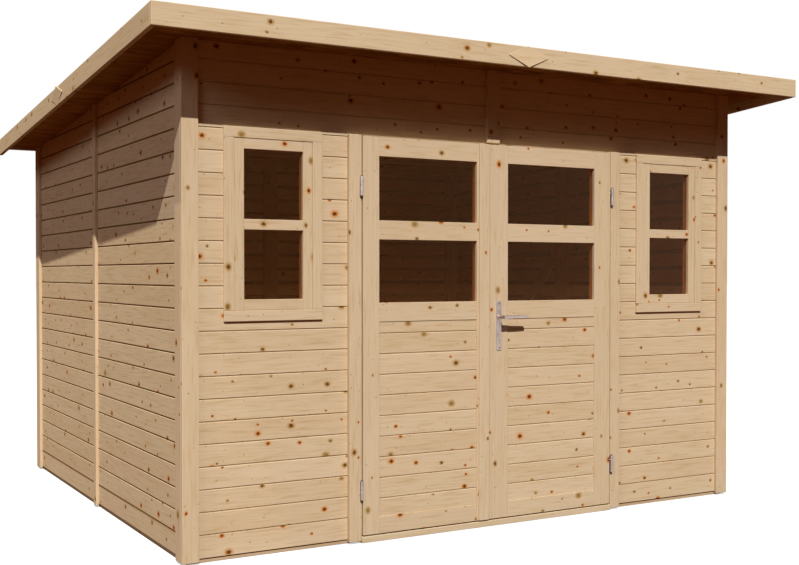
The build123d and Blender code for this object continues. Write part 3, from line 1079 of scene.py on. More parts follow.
@dataclass
class Fitting:
    """What every sub-assembly has: its finishes, and a way to fit a finished piece."""

    finishes: Finishes

    def fit(
        self, name: str, parts: Sequence[Piece], slot: Slot, *nodes: str,
        body: Body = Body.SHED, finish: bpy.types.Material | None = None,
    ) -> None:
        """Joins parts into one piece, dresses it and puts it on its body.

        Args:
            name: The name of the piece.
            parts: Its parts.
            slot: The slot it takes its finish from.
            nodes: The nodes it stands for.
            body: The body it rides on.
            finish: Its material, the slot's usual one where it is left out.
        """
        piece = join(name, parts)
        piece.data.materials.clear()
        piece.data.materials.append(finish or self.finishes.usual[slot])
        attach(piece, body.value)
        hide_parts(*nodes)
        LOG.info("%s rides on %s, %d faces", piece.name, body.value, len(piece.data.polygons))


@dataclass
class Joinery(Fitting):
    """A sub-assembly of timber."""

    plan: Plan
    joiner: Joiner


@dataclass(frozen=True)
class Hole:
    """A rectangular hole in a boarded panel, in the wall's own frame."""

    start: float
    end: float
    foot: float
    head: float


@dataclass
class BoardedWalls(Joinery):
    """The boards of all four walls."""

    boards: Matchboard
    last_row: int = 23
    window_middle: float = 1.103
    window_half: float = 0.178
    window_foot: float = 1.024
    window_head: float = 1.734
    joint_gap: float = 0.0003

    def frame_of(self, wall: Wall) -> Matrix:
        """The matrix from a wall's own frame, X along it and Y into it, to the shed's.

        Args:
            wall: The wall.

        Returns:
            The matrix.
        """
        plan = self.plan
        face = ((0, plan.front, 0), (plan.half, 0, 0), (0, plan.back, 0), (-plan.half, 0, 0))[wall.value]
        return Matrix.Translation(face) @ Matrix.Rotation(wall.value * math.pi / 2, 4, "Z")

    def row(self, wall: Wall, row: int, start: float, end: float, hole: Hole | None) -> list[Piece]:
        """One row of boards, cut round a hole.

        Args:
            wall: The wall it belongs to.
            row: Its number from the bottom.
            start: Where it starts along the wall.
            end: Where it ends.
            hole: The hole in its panel.

        Returns:
            The parts of the board.
        """
        foot, head = self.plan.row_foot(row), self.plan.row_foot(row + 1)
        matrix, number = self.frame_of(wall), self.joiner.next_board()
        tall = (head - foot) / self.plan.pitch
        if not hole or head <= hole.foot or foot >= hole.head:
            return [self.boards.lay(matrix, start, end, foot, number, tall)]
        parts = []
        for x0, x1 in ((start, hole.start), (hole.end, end)):
            if x1 > x0:
                parts.append(self.boards.lay(matrix, x0, x1, foot, number, tall))
        for edge, normal, crossed in ((hole.foot, Z, foot < hole.foot), (hole.head, -Z, head > hole.head)):
            if crossed:
                x0, x1 = max(start, hole.start), min(end, hole.end)
                parts.append(self.boards.lay(matrix, x0, x1, foot, number, tall))
                cut(parts[-1], (0, 0, edge), normal)
        return parts

    def panel(
        self, node: str, wall: Wall, rows: range, start: float, end: float, hole: Hole | None = None
    ) -> None:
        """One panel of boards, its top cut to the roof.

        Args:
            node: The node it stands for.
            wall: The wall it belongs to.
            rows: Its rows.
            start: Where it starts along the wall.
            end: Where it ends.
            hole: The hole in it.
        """
        start, end = min(start, end), max(start, end)
        parts = [part for row in rows for part in self.row(wall, row, start, end, hole)]
        piece = join(f"{node}_boards", parts)
        if rows[-1] > self.plan.lower_rows:
            self.joiner.cut_to_roof(piece)
        finish = self.finishes.wall if wall is Wall.FRONT else self.finishes.side
        self.fit(piece.name, [piece], Slot.WALL, node, finish=finish)

    def build(self) -> None:
        """Builds every panel."""
        plan, gap, middle = self.plan, self.joint_gap, self.plan.middle
        lower, every = range(plan.lower_rows), range(self.last_row)
        upper = range(plan.lower_rows, self.last_row)
        doorway = Hole(-plan.doorway, plan.doorway, 0.0, plan.lintel)
        for side in Side:
            sign, name = side.value, side.label
            centre, corner = sign * self.window_middle, sign * plan.half
            span = (centre - self.window_half, centre + self.window_half)
            window = Hole(*span, self.window_foot, self.window_head)
            self.panel(f"front_{name}_panel", Wall.FRONT, lower, sign * plan.doorway, corner, window)
            self.panel(f"front_top_{name}_panel", Wall.FRONT, upper, sign * gap, corner, doorway)
            self.panel(f"back_wall_{name}_panel", Wall.BACK, every, -sign * gap, -corner)
        front, back = plan.front + plan.board, plan.back - plan.board
        self.panel("right_wall_front_panel", Wall.RIGHT, every, front, middle - gap)
        self.panel("right_wall_rear_panel", Wall.RIGHT, every, middle + gap, back)
        self.panel("left_wall_front_panel", Wall.LEFT, every, -middle + gap, -front)
        self.panel("left_wall_rear_panel", Wall.LEFT, every, -back, -middle - gap)


@dataclass
class Base(Joinery):
    """The plates and bearers under the shed, its floor and the sill plank."""

    plate: float = 0.080
    bearer: float = 0.070
    bearers: int = 4
    recess: float = 0.006
    floor_board: float = 0.111
    floor_gap: float = 0.0008
    floor_rounding: float = 0.0012
    filler: float = 0.0305
    door_clearance: float = 0.0203
    stud_clearance: float = 0.001
    sill_lap: float = 0.004
    tread_drop: float = 0.0002
    tread_rounding: float = 0.001

    def plates(self) -> None:
        """The plates under the walls and the bearers between them."""
        sawn, seat, plate = self.joiner.sawn, self.plan.seat, self.plate
        low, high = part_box("base_frame")
        parts = []
        for y in (low.y, high.y - plate):
            parts.append(sawn((low.x, y, low.z), (high.x, y + plate, high.z), X))
        y0, y1 = low.y + plate + seat, high.y - plate - seat
        for x in (low.x, high.x - plate):
            parts.append(sawn((x, y0, low.z), (x + plate, y1, high.z), Y))
        bay = (high.x - low.x - 2 * plate - self.bearers * self.bearer) / (self.bearers + 1)
        for number in range(self.bearers):
            x = low.x + plate + bay + number * (bay + self.bearer)
            parts.append(sawn((x, y0, low.z), (x + self.bearer, y1, high.z), Y))
        self.fit("base_plates", parts, Slot.TIMBER, "base_frame")

    def floor(self) -> None:
        """The floor's boards, which reach into the doorway between two fillers."""
        low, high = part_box("floor")
        door = self.plan.doorway - self.door_clearance
        lip = self.plan.front + self.plan.board
        front = lip + self.plan.stud + self.stud_clearance
        count = round((high.x - low.x) / self.floor_board)
        step = (high.x - low.x) / count
        spans = []
        for x in (low.x + number * step for number in range(count)):
            start = lip if abs(x + step / 2) < door - step / 2 else front
            spans.append((x, x + step - self.floor_gap, start, high.y))
        spans += [(sign * (door - self.filler), sign * door, lip, front) for sign in (-1, 1)]
        sawn = self.joiner.sawn
        parts = [sawn((x0, y0, low.z), (x1, y1, high.z), Y, self.floor_rounding) for x0, x1, y0, y1 in spans]
        self.fit("floor_boards", parts, Slot.TIMBER, "floor")

    def sill(self) -> None:
        """The sill plank, of a nose and a tread."""
        low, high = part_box("door_sill")
        y = self.plan.front + self.recess - self.plan.seat
        nose = self.joiner.sawn(low, (high.x, y, high.z), X)
        root, top = (low.x, y - self.sill_lap, self.plan.foot), (high.x, high.y, high.z - self.tread_drop)
        tread = self.joiner.sawn(root, top, X, self.tread_rounding)
        self.fit("door_sill_plank", [nose, tread], Slot.TRIM, "door_sill")

    def build(self) -> None:
        """Builds the base frame, the floor and the sill."""
        self.plates()
        self.floor()
        self.sill()


@dataclass
class Trims(Joinery):
    """The boards that stand proud of the walls at corners, joints and the doorway."""

    thickness: float = 0.016
    foot: float = 0.008
    corner: float = 0.072
    strip: float = 0.070
    narrow: float = 0.045
    jamb: float = 0.060
    jamb_thickness: float = 0.023
    strip_foot: float = 0.012

    def corners(self) -> None:
        """Two boards at each corner."""
        plan, roofed = self.plan, self.joiner.roofed
        parts = []
        for side in (-1, 1):
            face, outer = side * plan.half, side * (plan.half + self.thickness)
            for end, wall in ((-1, plan.front), (1, plan.back)):
                proud, inner = wall + end * self.thickness, wall - end * self.corner
                parts.append(roofed((outer, wall, self.foot), (outer - side * self.corner, proud)))
                parts.append(roofed((face, wall - end * plan.seat, self.foot), (outer, inner)))
        self.fit("corner_boards", parts, Slot.TRIM, "corner_trims")

    def strips(self) -> None:
        """The strips over the joints of the panels: both sides, the front band and the back."""
        plan, roofed, half = self.plan, self.joiner.roofed, self.narrow / 2
        parts = []
        for side in (-1, 1):
            face, outer = side * plan.half, side * (plan.half + self.thickness)
            parts.append(roofed((face, plan.middle - half, self.foot), (outer, plan.middle + half)))
        x, foot = self.strip / 2, plan.joint + self.strip_foot
        parts.append(roofed((-x, plan.front - self.thickness, foot), (x, plan.front)))
        parts.append(roofed((-half, plan.back, self.foot), (half, plan.back + self.thickness)))
        self.fit("joint_strips", parts, Slot.TRIM, "cover_strips")

    def build(self) -> None:
        """Builds the corner boards, the cover strips and the jamb boards."""
        self.corners()
        self.strips()
        plan, parts = self.plan, []
        for side in (-1, 1):
            low = (side * plan.doorway, plan.front - self.jamb_thickness, self.foot)
            high = (side * (plan.doorway + self.jamb), plan.front, plan.lintel)
            parts.append(self.joiner.sawn(low, high, Z))
        self.fit("doorway_boards", parts, Slot.TRIM, "jamb_boards")


@dataclass
class Windows(Joinery):
    """The two fixed windows: their surrounds, sashes and panes."""

    middle: float = 1.103
    foot: float = 0.979
    width: float = 0.446
    height: float = 0.800
    surround: float = 0.045
    proud: float = 0.010
    sash: float = 0.044
    sash_proud: float = 0.007
    sash_depth: float = 0.044
    bar_foot: float = 1.357
    clearance: float = 0.0005

    def surround_of(self, x: float) -> list[Piece]:
        """The four boards round one window; the head and the foot run over the sides.

        Args:
            x: The window's middle.

        Returns:
            The boards.
        """
        left, right, band = x - self.width / 2, x + self.width / 2, self.surround
        foot, head = self.foot, self.foot + self.height
        spans = (
            (left, right, head - band, head, X),
            (left, right, foot, foot + band, X),
            (left, left + band, foot + band, head - band, Z),
            (right - band, right, foot + band, head - band, Z),
        )
        front, back = self.plan.front - self.proud, self.plan.front
        return [self.joiner.sawn((x0, front, z0), (x1, back, z1), along) for x0, x1, z0, z1, along in spans]

    def sash_of(self, x: float) -> list[Piece]:
        """The stiles, the rails and the bar of one window.

        Args:
            x: The window's middle.

        Returns:
            The timbers.
        """
        edge, band = self.surround + self.clearance, self.sash
        half = self.width / 2 - edge
        inner = half - band
        foot, head = self.foot + edge, self.foot + self.height - edge
        spans = (
            (x - half, x - inner, foot, head, Z),
            (x + inner, x + half, foot, head, Z),
            (x - inner, x + inner, head - band, head, X),
            (x - inner, x + inner, foot, foot + band, X),
            (x - inner, x + inner, self.bar_foot, self.bar_foot + band, X),
        )
        front = self.plan.front - self.sash_proud
        back = front + self.sash_depth
        return [self.joiner.sawn((x0, front, z0), (x1, back, z1), along) for x0, x1, z0, z1, along in spans]

    def build(self) -> None:
        """Builds both windows, whose panes stay as packed."""
        surrounds, sashes = [], []
        for side in (-1, 1):
            surrounds += self.surround_of(side * self.middle)
            sashes += self.sash_of(side * self.middle)
        self.fit("window_surround_boards", surrounds, Slot.TRIM, "window_surrounds")
        self.fit("window_sash_frames", sashes, Slot.TRIM, "window_sashes")


@dataclass
class Studwork(Joinery):
    """The posts, rails, braces and purlins behind the boards."""

    stop: float = 0.020
    head_gap: float = 0.005
    brace: float = 0.070
    brace_depth: float = 0.019
    brace_rounding: float = 0.001
    purlin: float = 0.044
    purlin_depth: float = 0.095
    purlins: int = 3

    def side_wall(self, side: Side) -> None:
        """End posts, a double middle post, soles and heads of a side wall.

        Args:
            side: The side.
        """
        plan, stud, joiner = self.plan, self.plan.stud, self.joiner
        x0, x1 = (side.value * (plan.half - plan.board - depth) for depth in (0, stud))
        y0, y1 = plan.front + plan.board, plan.back - plan.board
        parts = []
        for y in (y0, plan.middle - stud, plan.middle, y1 - stud):
            parts.append(joiner.roofed((x0, y, plan.foot), (x1, y + stud)))
        for start, end in ((y0 + stud, plan.middle - stud), (plan.middle + stud, y1 - stud)):
            parts.append(joiner.sawn((x0, start, plan.foot), (x1, end, plan.foot + stud), Y))
            parts.append(joiner.raked(x0, x1, start, end, -stud, 0, Y))
        self.fit(f"{side.label}_wall_frame_studs", parts, Slot.TIMBER, f"{side.label}_wall_frame")

    def end_wall(self) -> None:
        """The posts and rails of the back wall."""
        foot, stud, joiner = self.plan.foot, self.plan.stud, self.joiner
        low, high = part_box("back_wall_frame")
        parts = []
        for x in (low.x, -stud, 0.0, high.x - stud):
            parts.append(joiner.roofed((x, low.y, foot), (x + stud, high.y)))
        for x0, x1 in ((low.x + stud, -stud), (stud, high.x - stud)):
            parts.append(joiner.sawn((x0, low.y, foot), (x1, high.y, foot + stud), X))
            parts.append(joiner.raked(x0, x1, low.y, high.y, -stud, 0, X))
        self.fit("back_wall_studs", parts, Slot.TIMBER, "back_wall_frame")

    def front_wall(self) -> None:
        """The posts and rails beside and over the doorway."""
        plan, stud = self.plan, self.plan.stud
        low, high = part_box("front_wall_frame")
        y0, y1 = plan.front + plan.board, low.y + stud
        post = plan.doorway - self.stop + stud
        sawn, roofed, raked = self.joiner.sawn, self.joiner.roofed, self.joiner.raked
        foot, head = plan.foot, plan.joint - stud / 2
        parts = []
        for side in (-1, 1):
            outer, inner = side * high.x, side * (post + plan.seat)
            parts.append(roofed((outer, y0, foot), (outer - side * stud, y1)))
            parts.append(sawn((inner, y0, foot), (inner + side * stud, y1, head), Z))
            parts.append(sawn((inner + side * stud, y0, foot), (outer - side * stud, y1, foot + stud), X))
            parts.append(sawn((inner, y0, head), (outer - side * stud, y1, head + stud), X))
        lintel = plan.lintel + stud
        parts.append(sawn((-post, y0, lintel), (post, y1, lintel + stud), X))
        parts.append(roofed((-stud / 2, y0, lintel + stud), (stud / 2, y1)))
        for x0, x1 in ((stud - high.x, -stud / 2), (stud / 2, high.x - stud)):
            parts.append(raked(x0, x1, y0, y1, -stud, 0, X))
        self.fit("front_wall_studs", parts, Slot.TIMBER, "front_wall_frame")

    def door_frame(self) -> None:
        """The posts and the head that the leaves close against."""
        low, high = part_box("door_frame")
        face = self.plan.doorway - self.stop
        under = self.plan.lintel - self.head_gap - self.stop
        sawn = self.joiner.sawn
        parts = [
            sawn(low, (-face, high.y, high.z), Z),
            sawn((face, low.y, low.z), high, Z),
            sawn((-face, low.y, under), (face, high.y, high.z), X),
        ]
        self.fit("door_posts", parts, Slot.TIMBER, "door_frame")

    def braces(self) -> None:
        """The slanting boards on the side frames."""
        low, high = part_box("wall_braces")
        foot, top = Vector((0, high.y, low.z)), Vector((0, low.y, high.z - self.brace))
        way = (foot - top).normalized()
        over = 2 * self.joiner.allowance
        turn = Matrix.Translation(top) @ Matrix.Rotation(math.atan2(way.z, way.y), 4, "X")
        parts = []
        for x in (low.x, high.x - self.brace_depth):
            piece = cube((x, -over, 0), (x + self.brace_depth, (foot - top).length + over, self.brace))
            piece.data.transform(turn)
            for at, normal in ((foot, Y), (top, -Y), (foot, -Z), (high, Z)):
                cut(piece, at, normal)
            ease(piece, self.brace_rounding)
            parts.append(self.joiner.lay_grain(piece, way))
        self.fit("side_braces", parts, Slot.TIMBER, "wall_braces")

    def beams(self) -> None:
        """The purlins under the deck."""
        plan, half = self.plan, self.purlin / 2
        low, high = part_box("purlins")
        wall = plan.board + plan.stud
        front, back = plan.front + wall, plan.back - wall
        bay = (back - front) / (self.purlins + 1)
        rows = [front + row * bay for row in range(1, self.purlins + 1)]
        parts = [self.joiner.raked(low.x, high.x, y - half, y + half, -self.purlin_depth, 0, X) for y in rows]
        self.fit("purlin_timbers", parts, Slot.TIMBER, "purlins")

    def build(self) -> None:
        """Builds all the studwork."""
        for side in Side:
            self.side_wall(side)
        self.end_wall()
        self.front_wall()
        self.door_frame()
        self.braces()
        self.beams()


@dataclass
class Roof(Joinery):
    """The deck, its covering, the fascias and the diamonds over their joints."""

    fascia_height: float = 0.090
    below: float = 0.046
    rear_below: float = 0.010
    deck_depth: float = 0.019
    covering: float = 0.004
    sheets: int = 3
    sheet_gap: float = 0.002
    lap: float = 0.08
    seam: float = 0.0004
    front_foot: float = 2.074
    diamond: tuple[float, float, float] = (0.212, 0.094, 0.006)

    def deck(self) -> None:
        """Sheets of strand board side by side."""
        low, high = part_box("roof_deck")
        step = (high.x - low.x) / self.sheets
        parts = []
        for x in (low.x + number * step for number in range(self.sheets)):
            end = x + step - self.sheet_gap
            parts.append(self.joiner.raked(x, end, low.y, high.y, 0, self.deck_depth, X))
        self.fit("deck_sheets", parts, Slot.ROOF, "roof_deck")

    def felt(self) -> None:
        """Strips of felt across the roof, each lapped by the one above it."""
        low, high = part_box("roof_covering")
        step = (high.y - low.y) / self.sheets
        foot = self.deck_depth
        middle, top = foot + self.covering / 2, foot + self.covering
        parts = []
        for y in (low.y + number * step for number in range(self.sheets)):
            end = min(y + step + self.lap, high.y)
            parts.append(self.joiner.raked(low.x, high.x, y, end, middle, top, X))
            parts.append(self.joiner.raked(low.x, high.x, y, y + step, foot, middle, X))
        self.fit("felt_strips", parts, Slot.FELT, "roof_covering")

    def fascias(self) -> None:
        """The front and rear fascias and the bargeboards, each of two boards."""
        sawn, raked, seam = self.joiner.sawn, self.joiner.raked, self.seam
        low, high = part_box("front_fascia")
        parts = [sawn(low, (-seam, high.y, high.z), X), sawn((seam, low.y, low.z), high, X)]
        self.fit("front_fascia_boards", parts, Slot.TRIM, "front_fascia")
        low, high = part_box("rear_fascia")
        foot, top = -self.rear_below, self.deck_depth + self.covering
        parts = [raked(x0, x1, low.y, high.y, foot, top, X) for x0, x1 in ((low.x, -seam), (seam, high.x))]
        self.fit("rear_fascia_boards", parts, Slot.TRIM, "rear_fascia")
        foot, top, along = -self.below, self.fascia_height - self.below, self.plan.slope
        for node in ("left_bargeboard", "right_bargeboard"):
            low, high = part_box(node)
            spans = ((low.y, -seam), (seam, high.y))
            parts = [raked(low.x, high.x, y0, y1, foot, top, along) for y0, y1 in spans]
            self.fit(f"{node}_boards", parts, Slot.TRIM, node)

    def diamonds(self) -> None:
        """The diamond plates at the middle of the fascias, each thinner towards its upper tip."""
        plan = self.plan
        width, height, depth = self.diamond
        middle = plan.deck(0) - self.below + self.fascia_height / 2
        spots = (
            (Vector((0, plan.roof_front, plan.foot + self.front_foot + self.fascia_height / 2)), -Y, X),
            (Vector((-plan.roof_half, 0, middle)), -X, plan.slope),
            (Vector((plan.roof_half, 0, middle)), X, plan.slope),
        )
        lean = Matrix.Identity(4)
        lean[2][1] = -depth / height
        parts = []
        for spot, out, along in spots:
            piece = rod(Vector((0, 0, -0.5)), Z, 0.5, 1, 4)
            piece.data.transform(lean @ Matrix.Diagonal((width, height, 2 * depth, 1)))
            turn = Matrix((along, out.cross(along), out)).transposed().to_4x4()
            piece.data.transform(Matrix.Translation(spot - out * (depth / 2)) @ turn)
            parts.append(self.joiner.lay_grain(piece, along))
        self.fit("diamond_plates", parts, Slot.TRIM, "fascia_plates")

    def build(self) -> None:
        """Builds the whole roof."""
        self.deck()
        self.felt()
        self.fascias()
        self.diamonds()


@dataclass
class DoorLeaf(Joinery):
    """One leaf: stiles, rails and the boarded panel under them."""

    boards: Matchboard
    side: Side
    stiles: tuple[float, float]
    panes: tuple[tuple[float, float], ...] = ((1.409, 1.689), (1.048, 1.325))
    infill: tuple[float, float] = (0.108, 0.964)
    infill_pitch: float = 0.09075
    infill_first: float = 0.049
    infill_thickness: float = 0.016
    rounding: float = 0.0015

    def timbers(self) -> None:
        """Two stiles from top to bottom with four rails between them."""
        node = f"{self.side.label}_leaf_frame"
        low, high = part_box(node)
        sawn, rounding = self.joiner.sawn, self.rounding
        left, right = low.x + self.stiles[0], high.x - self.stiles[1]
        openings = (*self.panes, self.infill)
        heights = [high.z, *(z for opening in openings for z in reversed(opening)), low.z]
        parts = [
            sawn(low, (left, high.y, high.z), Z, rounding),
            sawn((right, low.y, low.z), high, Z, rounding),
        ]
        for top, foot in zip(heights[::2], heights[1::2]):
            parts.append(sawn((left, low.y, foot), (right, high.y, top), X, rounding))
        self.fit(f"{self.side.label}_leaf_timbers", parts, Slot.DOOR, node, body=self.side.door)

    def panel(self) -> None:
        """The matchboards in the lower part, set back a little."""
        node = f"{self.side.label}_leaf_infill"
        low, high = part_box(node)
        thin = Matrix.Diagonal((1, self.infill_thickness / self.plan.board, 1, 1))
        matrix = Matrix.Translation((0, low.y, 0)) @ thin
        tall = self.infill_pitch / self.plan.pitch
        foot = high.z - self.infill_first
        parts = []
        while foot + self.infill_pitch > low.z:
            parts.append(self.boards.lay(matrix, low.x, high.x, foot, self.joiner.next_board(), tall))
            foot -= self.infill_pitch
        piece = join(f"{self.side.label}_leaf_boards", parts)
        cut(piece, high, Z)
        cut(piece, low, -Z)
        self.fit(piece.name, [piece], Slot.DOOR, node, body=self.side.door, finish=self.finishes.wall)

    def build(self) -> None:
        """Builds the leaf, the left one with its meeting strip."""
        self.timbers()
        self.panel()
        if self.side is Side.LEFT:
            strip = self.joiner.sawn(*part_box("meeting_strip"), Z)
            self.fit("meeting_batten", [strip], Slot.DOOR, "meeting_strip", body=self.side.door)


@dataclass
class Hinges(Fitting):
    """Drill-in hinges: two knuckles on a pin, each with a leg let into the wood."""

    radius: float = 0.0075
    height: float = 0.082
    gap: float = 0.0004
    pivot: tuple[float, float] = (0.702, -1.222)
    centres: tuple[float, float] = (0.231, 1.555)
    leg: float = 0.003
    leg_length: float = 0.026
    slant: float = 0.6
    cap_radius: float = 0.0046
    cap_height: float = 0.0060
    cap_root: float = 0.001
    knuckle_rounding: float = 0.0009
    leg_rounding: float = 0.0006
    cap_rounding: float = 0.0014

    @property
    def knuckle_height(self) -> float:
        """The height of one knuckle."""
        return (self.height - self.gap) / 2

    def knuckle(self, x: float, foot: float, toward: Vector) -> list[Piece]:
        """A knuckle and its leg.

        Args:
            x: Its place across the front.
            foot: Its lower end.
            toward: The direction of its leg.

        Returns:
            The knuckle and the leg.
        """
        at, way = Vector((x, self.pivot[1], foot)), toward.normalized()
        barrel = rod(at, Z, self.radius, self.knuckle_height, 40)
        ease(barrel, self.knuckle_rounding, 3, lambda spot, edge: abs(edge.z) < 0.1)
        leg = rod(at + Z * (self.knuckle_height / 2), way, self.leg, self.leg_length, 20)
        ease(leg, self.leg_rounding, 2, lambda spot, edge: abs(edge.dot(way)) < 0.1)
        return smooth(barrel, leg)

    def cap(self, x: float, z: float, out: Vector) -> list[Piece]:
        """The pin's head at one end of a hinge.

        Args:
            x: Its place across the front.
            z: The height of the hinge's end.
            out: Up at the upper end and down at the lower one.

        Returns:
            The head.
        """
        root = Vector((x, self.pivot[1], z)) - out * self.cap_root
        head = rod(root, out, self.cap_radius, self.cap_height, 28)
        ease(head, self.cap_rounding, 3, lambda spot, edge: abs(edge.z) < 0.1 and (spot.z - z) * out.z > 0)
        return smooth(head)

    def build(self) -> None:
        """Builds the four hinges."""
        dark = self.finishes.dark_steel
        fixed, pins = [], []
        for side in Side:
            x = side.value * self.pivot[0]
            turning, caps = [], []
            for centre in self.centres:
                foot = centre - self.height / 2
                fixed += self.knuckle(x, foot, Y)
                pins += self.cap(x, foot, -Z)
                toward = Vector((-side.value, self.slant, 0))
                turning += self.knuckle(x, foot + self.knuckle_height + self.gap, toward)
                caps += self.cap(x, foot + self.height, Z)
            hinges = f"{side.label}_leaf_hinges"
            self.fit(f"{side.label}_leaf_knuckles", turning, Slot.STEEL, hinges, body=side.door)
            self.fit(f"{side.label}_hinge_caps", caps, Slot.STEEL, body=side.door, finish=dark)
        self.fit("frame_knuckles", fixed, Slot.STEEL, "frame_hinges")
        self.fit("frame_hinge_pins", pins, Slot.STEEL, finish=dark)


@dataclass
class Handle(Fitting):
    """The long plates with their keyholes and screws, and the lever on both faces."""

    spindle: tuple[float, float] = (0.023, 0.974)
    faces: tuple[float, float] = (-1.218, -1.178)
    plate: tuple[float, float, float] = (0.027, 0.232, 0.003)
    plate_middle: float = 0.934
    corner: float = 0.005
    keyhole: float = 0.864
    key_radius: float = 0.004
    key_leg: float = 0.012
    collar_radius: float = 0.0115
    collar_height: float = 0.0055
    collar_root: float = 0.0005
    neck: float = 0.008
    reach: float = 0.057
    arm: float = 0.121
    arm_height: float = 0.016
    arm_depth: float = 0.019
    arm_steps: tuple[tuple[float, float], ...] = ((0.22, 0.94), (0.45, 0.90), (0.27, 0.94), (0.06, 0.80))
    screw_radius: float = 0.0034
    screw_height: float = 0.0018
    screw_root: float = 0.001
    screw_edge: float = 0.024
    screw_slot: tuple[float, float, float] = (0.004, 0.0005, 0.0004)
    through: float = 0.01
    lever_gap: float = 0.001
    plate_rounding: float = 0.0009
    collar_rounding: float = 0.0015
    screw_rounding: float = 0.0006
    arm_rounding: float = 0.003

    def plate_on(self, face: float, out: float) -> list[Piece]:
        """One plate with its keyhole and the collar round the spindle.

        Args:
            face: The leaf's face.
            out: -1 on the front and 1 on the back.

        Returns:
            The plate and its collar.
        """
        x, z = self.spindle
        width, height, depth = self.plate
        foot, key = self.plate_middle - height / 2, self.keyhole
        plate = cube((x - width / 2, face, foot), (x + width / 2, face + out * depth, foot + height))
        ease(plate, self.corner, 8, lambda at, way: abs(way.y) > 0.9)
        ease(plate, self.plate_rounding, 3, lambda at, way: (at.y - face) * out > depth * 0.9)
        near, far = face - self.through, face + self.through
        carve(plate, rod(Vector((x, near, key)), Y, self.key_radius, 2 * self.through, 24))
        half = self.key_radius / 2
        carve(plate, cube((x - half, near, key - self.key_leg), (x + half, far, key)))
        root = Vector((x, face + out * (depth - self.collar_root), z))
        collar = rod(root, Y * out, self.collar_radius, self.collar_height, 36)
        ease(collar, self.collar_rounding, 3, lambda at, way: (at.y - face) * out > depth)
        return smooth(plate, collar)

    def screws_on(self, face: float, out: float) -> list[Piece]:
        """The screw heads of one plate, each with its slot.

        Args:
            face: The leaf's face.
            out: -1 on the front and 1 on the back.

        Returns:
            The heads.
        """
        _, height, depth = self.plate
        slot = Vector(self.screw_slot)
        heads = []
        for shift in (-0.5, 0.5):
            z = self.plate_middle + shift * (height - self.screw_edge)
            at = Vector((self.spindle[0], face + out * (depth - self.screw_root), z))
            head = rod(at, Y * out, self.screw_radius, self.screw_height, 24)
            ease(head, self.screw_rounding, 2, lambda spot, way: (spot.y - at.y) * out > self.screw_root)
            top = at + Y * out * self.screw_height
            carve(head, cube(top - slot, top + slot))
            heads += smooth(head)
        return heads

    def lever_on(self, face: float, out: float) -> Piece:
        """The turned neck and the arm on one face, the arm a little thinner towards its end.

        Args:
            face: The leaf's face.
            out: -1 on the front and 1 on the back.

        Returns:
            The lever's half.
        """
        x, z = self.spindle
        start, end = (face + out * (self.plate[2] + reach) for reach in (self.lever_gap, self.reach))
        neck = rod(Vector((x, start, z)), Y * out, self.neck, abs(end - start) - self.arm_depth / 2, 32)
        half = self.arm_height / 2
        arm = cube((x - self.neck, end, z - half), (x + self.neck, end - out * self.arm_depth, z + half))
        with editing(arm):
            for share, shrink in self.arm_steps:
                pick_faces(arm, X)
                pull((self.arm * share, 0, 0))
                bpy.ops.transform.resize(value=(1, shrink, shrink))
        ease(arm, self.arm_rounding)
        finish_with(arm, "SUBSURF", levels=1, render_levels=1)
        return join("lever_half", smooth(neck, arm))

    def build(self) -> None:
        """Builds the plates, the screws and the lever."""
        plates, screws, levers = [], [], []
        for face, out in zip(self.faces, (-1.0, 1.0)):
            plates += self.plate_on(face, out)
            screws += self.screws_on(face, out)
            levers.append(self.lever_on(face, out))
        door, dark = Body.RIGHT_DOOR, self.finishes.dark_steel
        self.fit("door_handle_plates", plates, Slot.STEEL, "handle_plates", body=door)
        self.fit("plate_screws", screws, Slot.STEEL, body=door, finish=dark)
        self.fit("lever_handle", levers, Slot.STEEL, "lever", body=Body.LEVER)


@dataclass(frozen=True)
class Lamp:
    """A far lamp: the direction to it, its strength, how wide it looks in degrees and its colour."""

    name: str
    toward: tuple[float, float, float]
    strength: float
    angle: float
    colour: Colour = (1.0, 1.0, 1.0)

    def build(self) -> None:
        """Hangs the lamp."""
        data = bpy.data.lights.new(self.name, "SUN")
        data.energy, data.angle, data.color = self.strength, math.radians(self.angle), self.colour
        lamp = bpy.data.objects.new(self.name, data)
        lamp.rotation_mode = "QUATERNION"
        lamp.rotation_quaternion = (-Vector(self.toward)).to_track_quat("-Z", "Y")
        bpy.context.collection.objects.link(lamp)


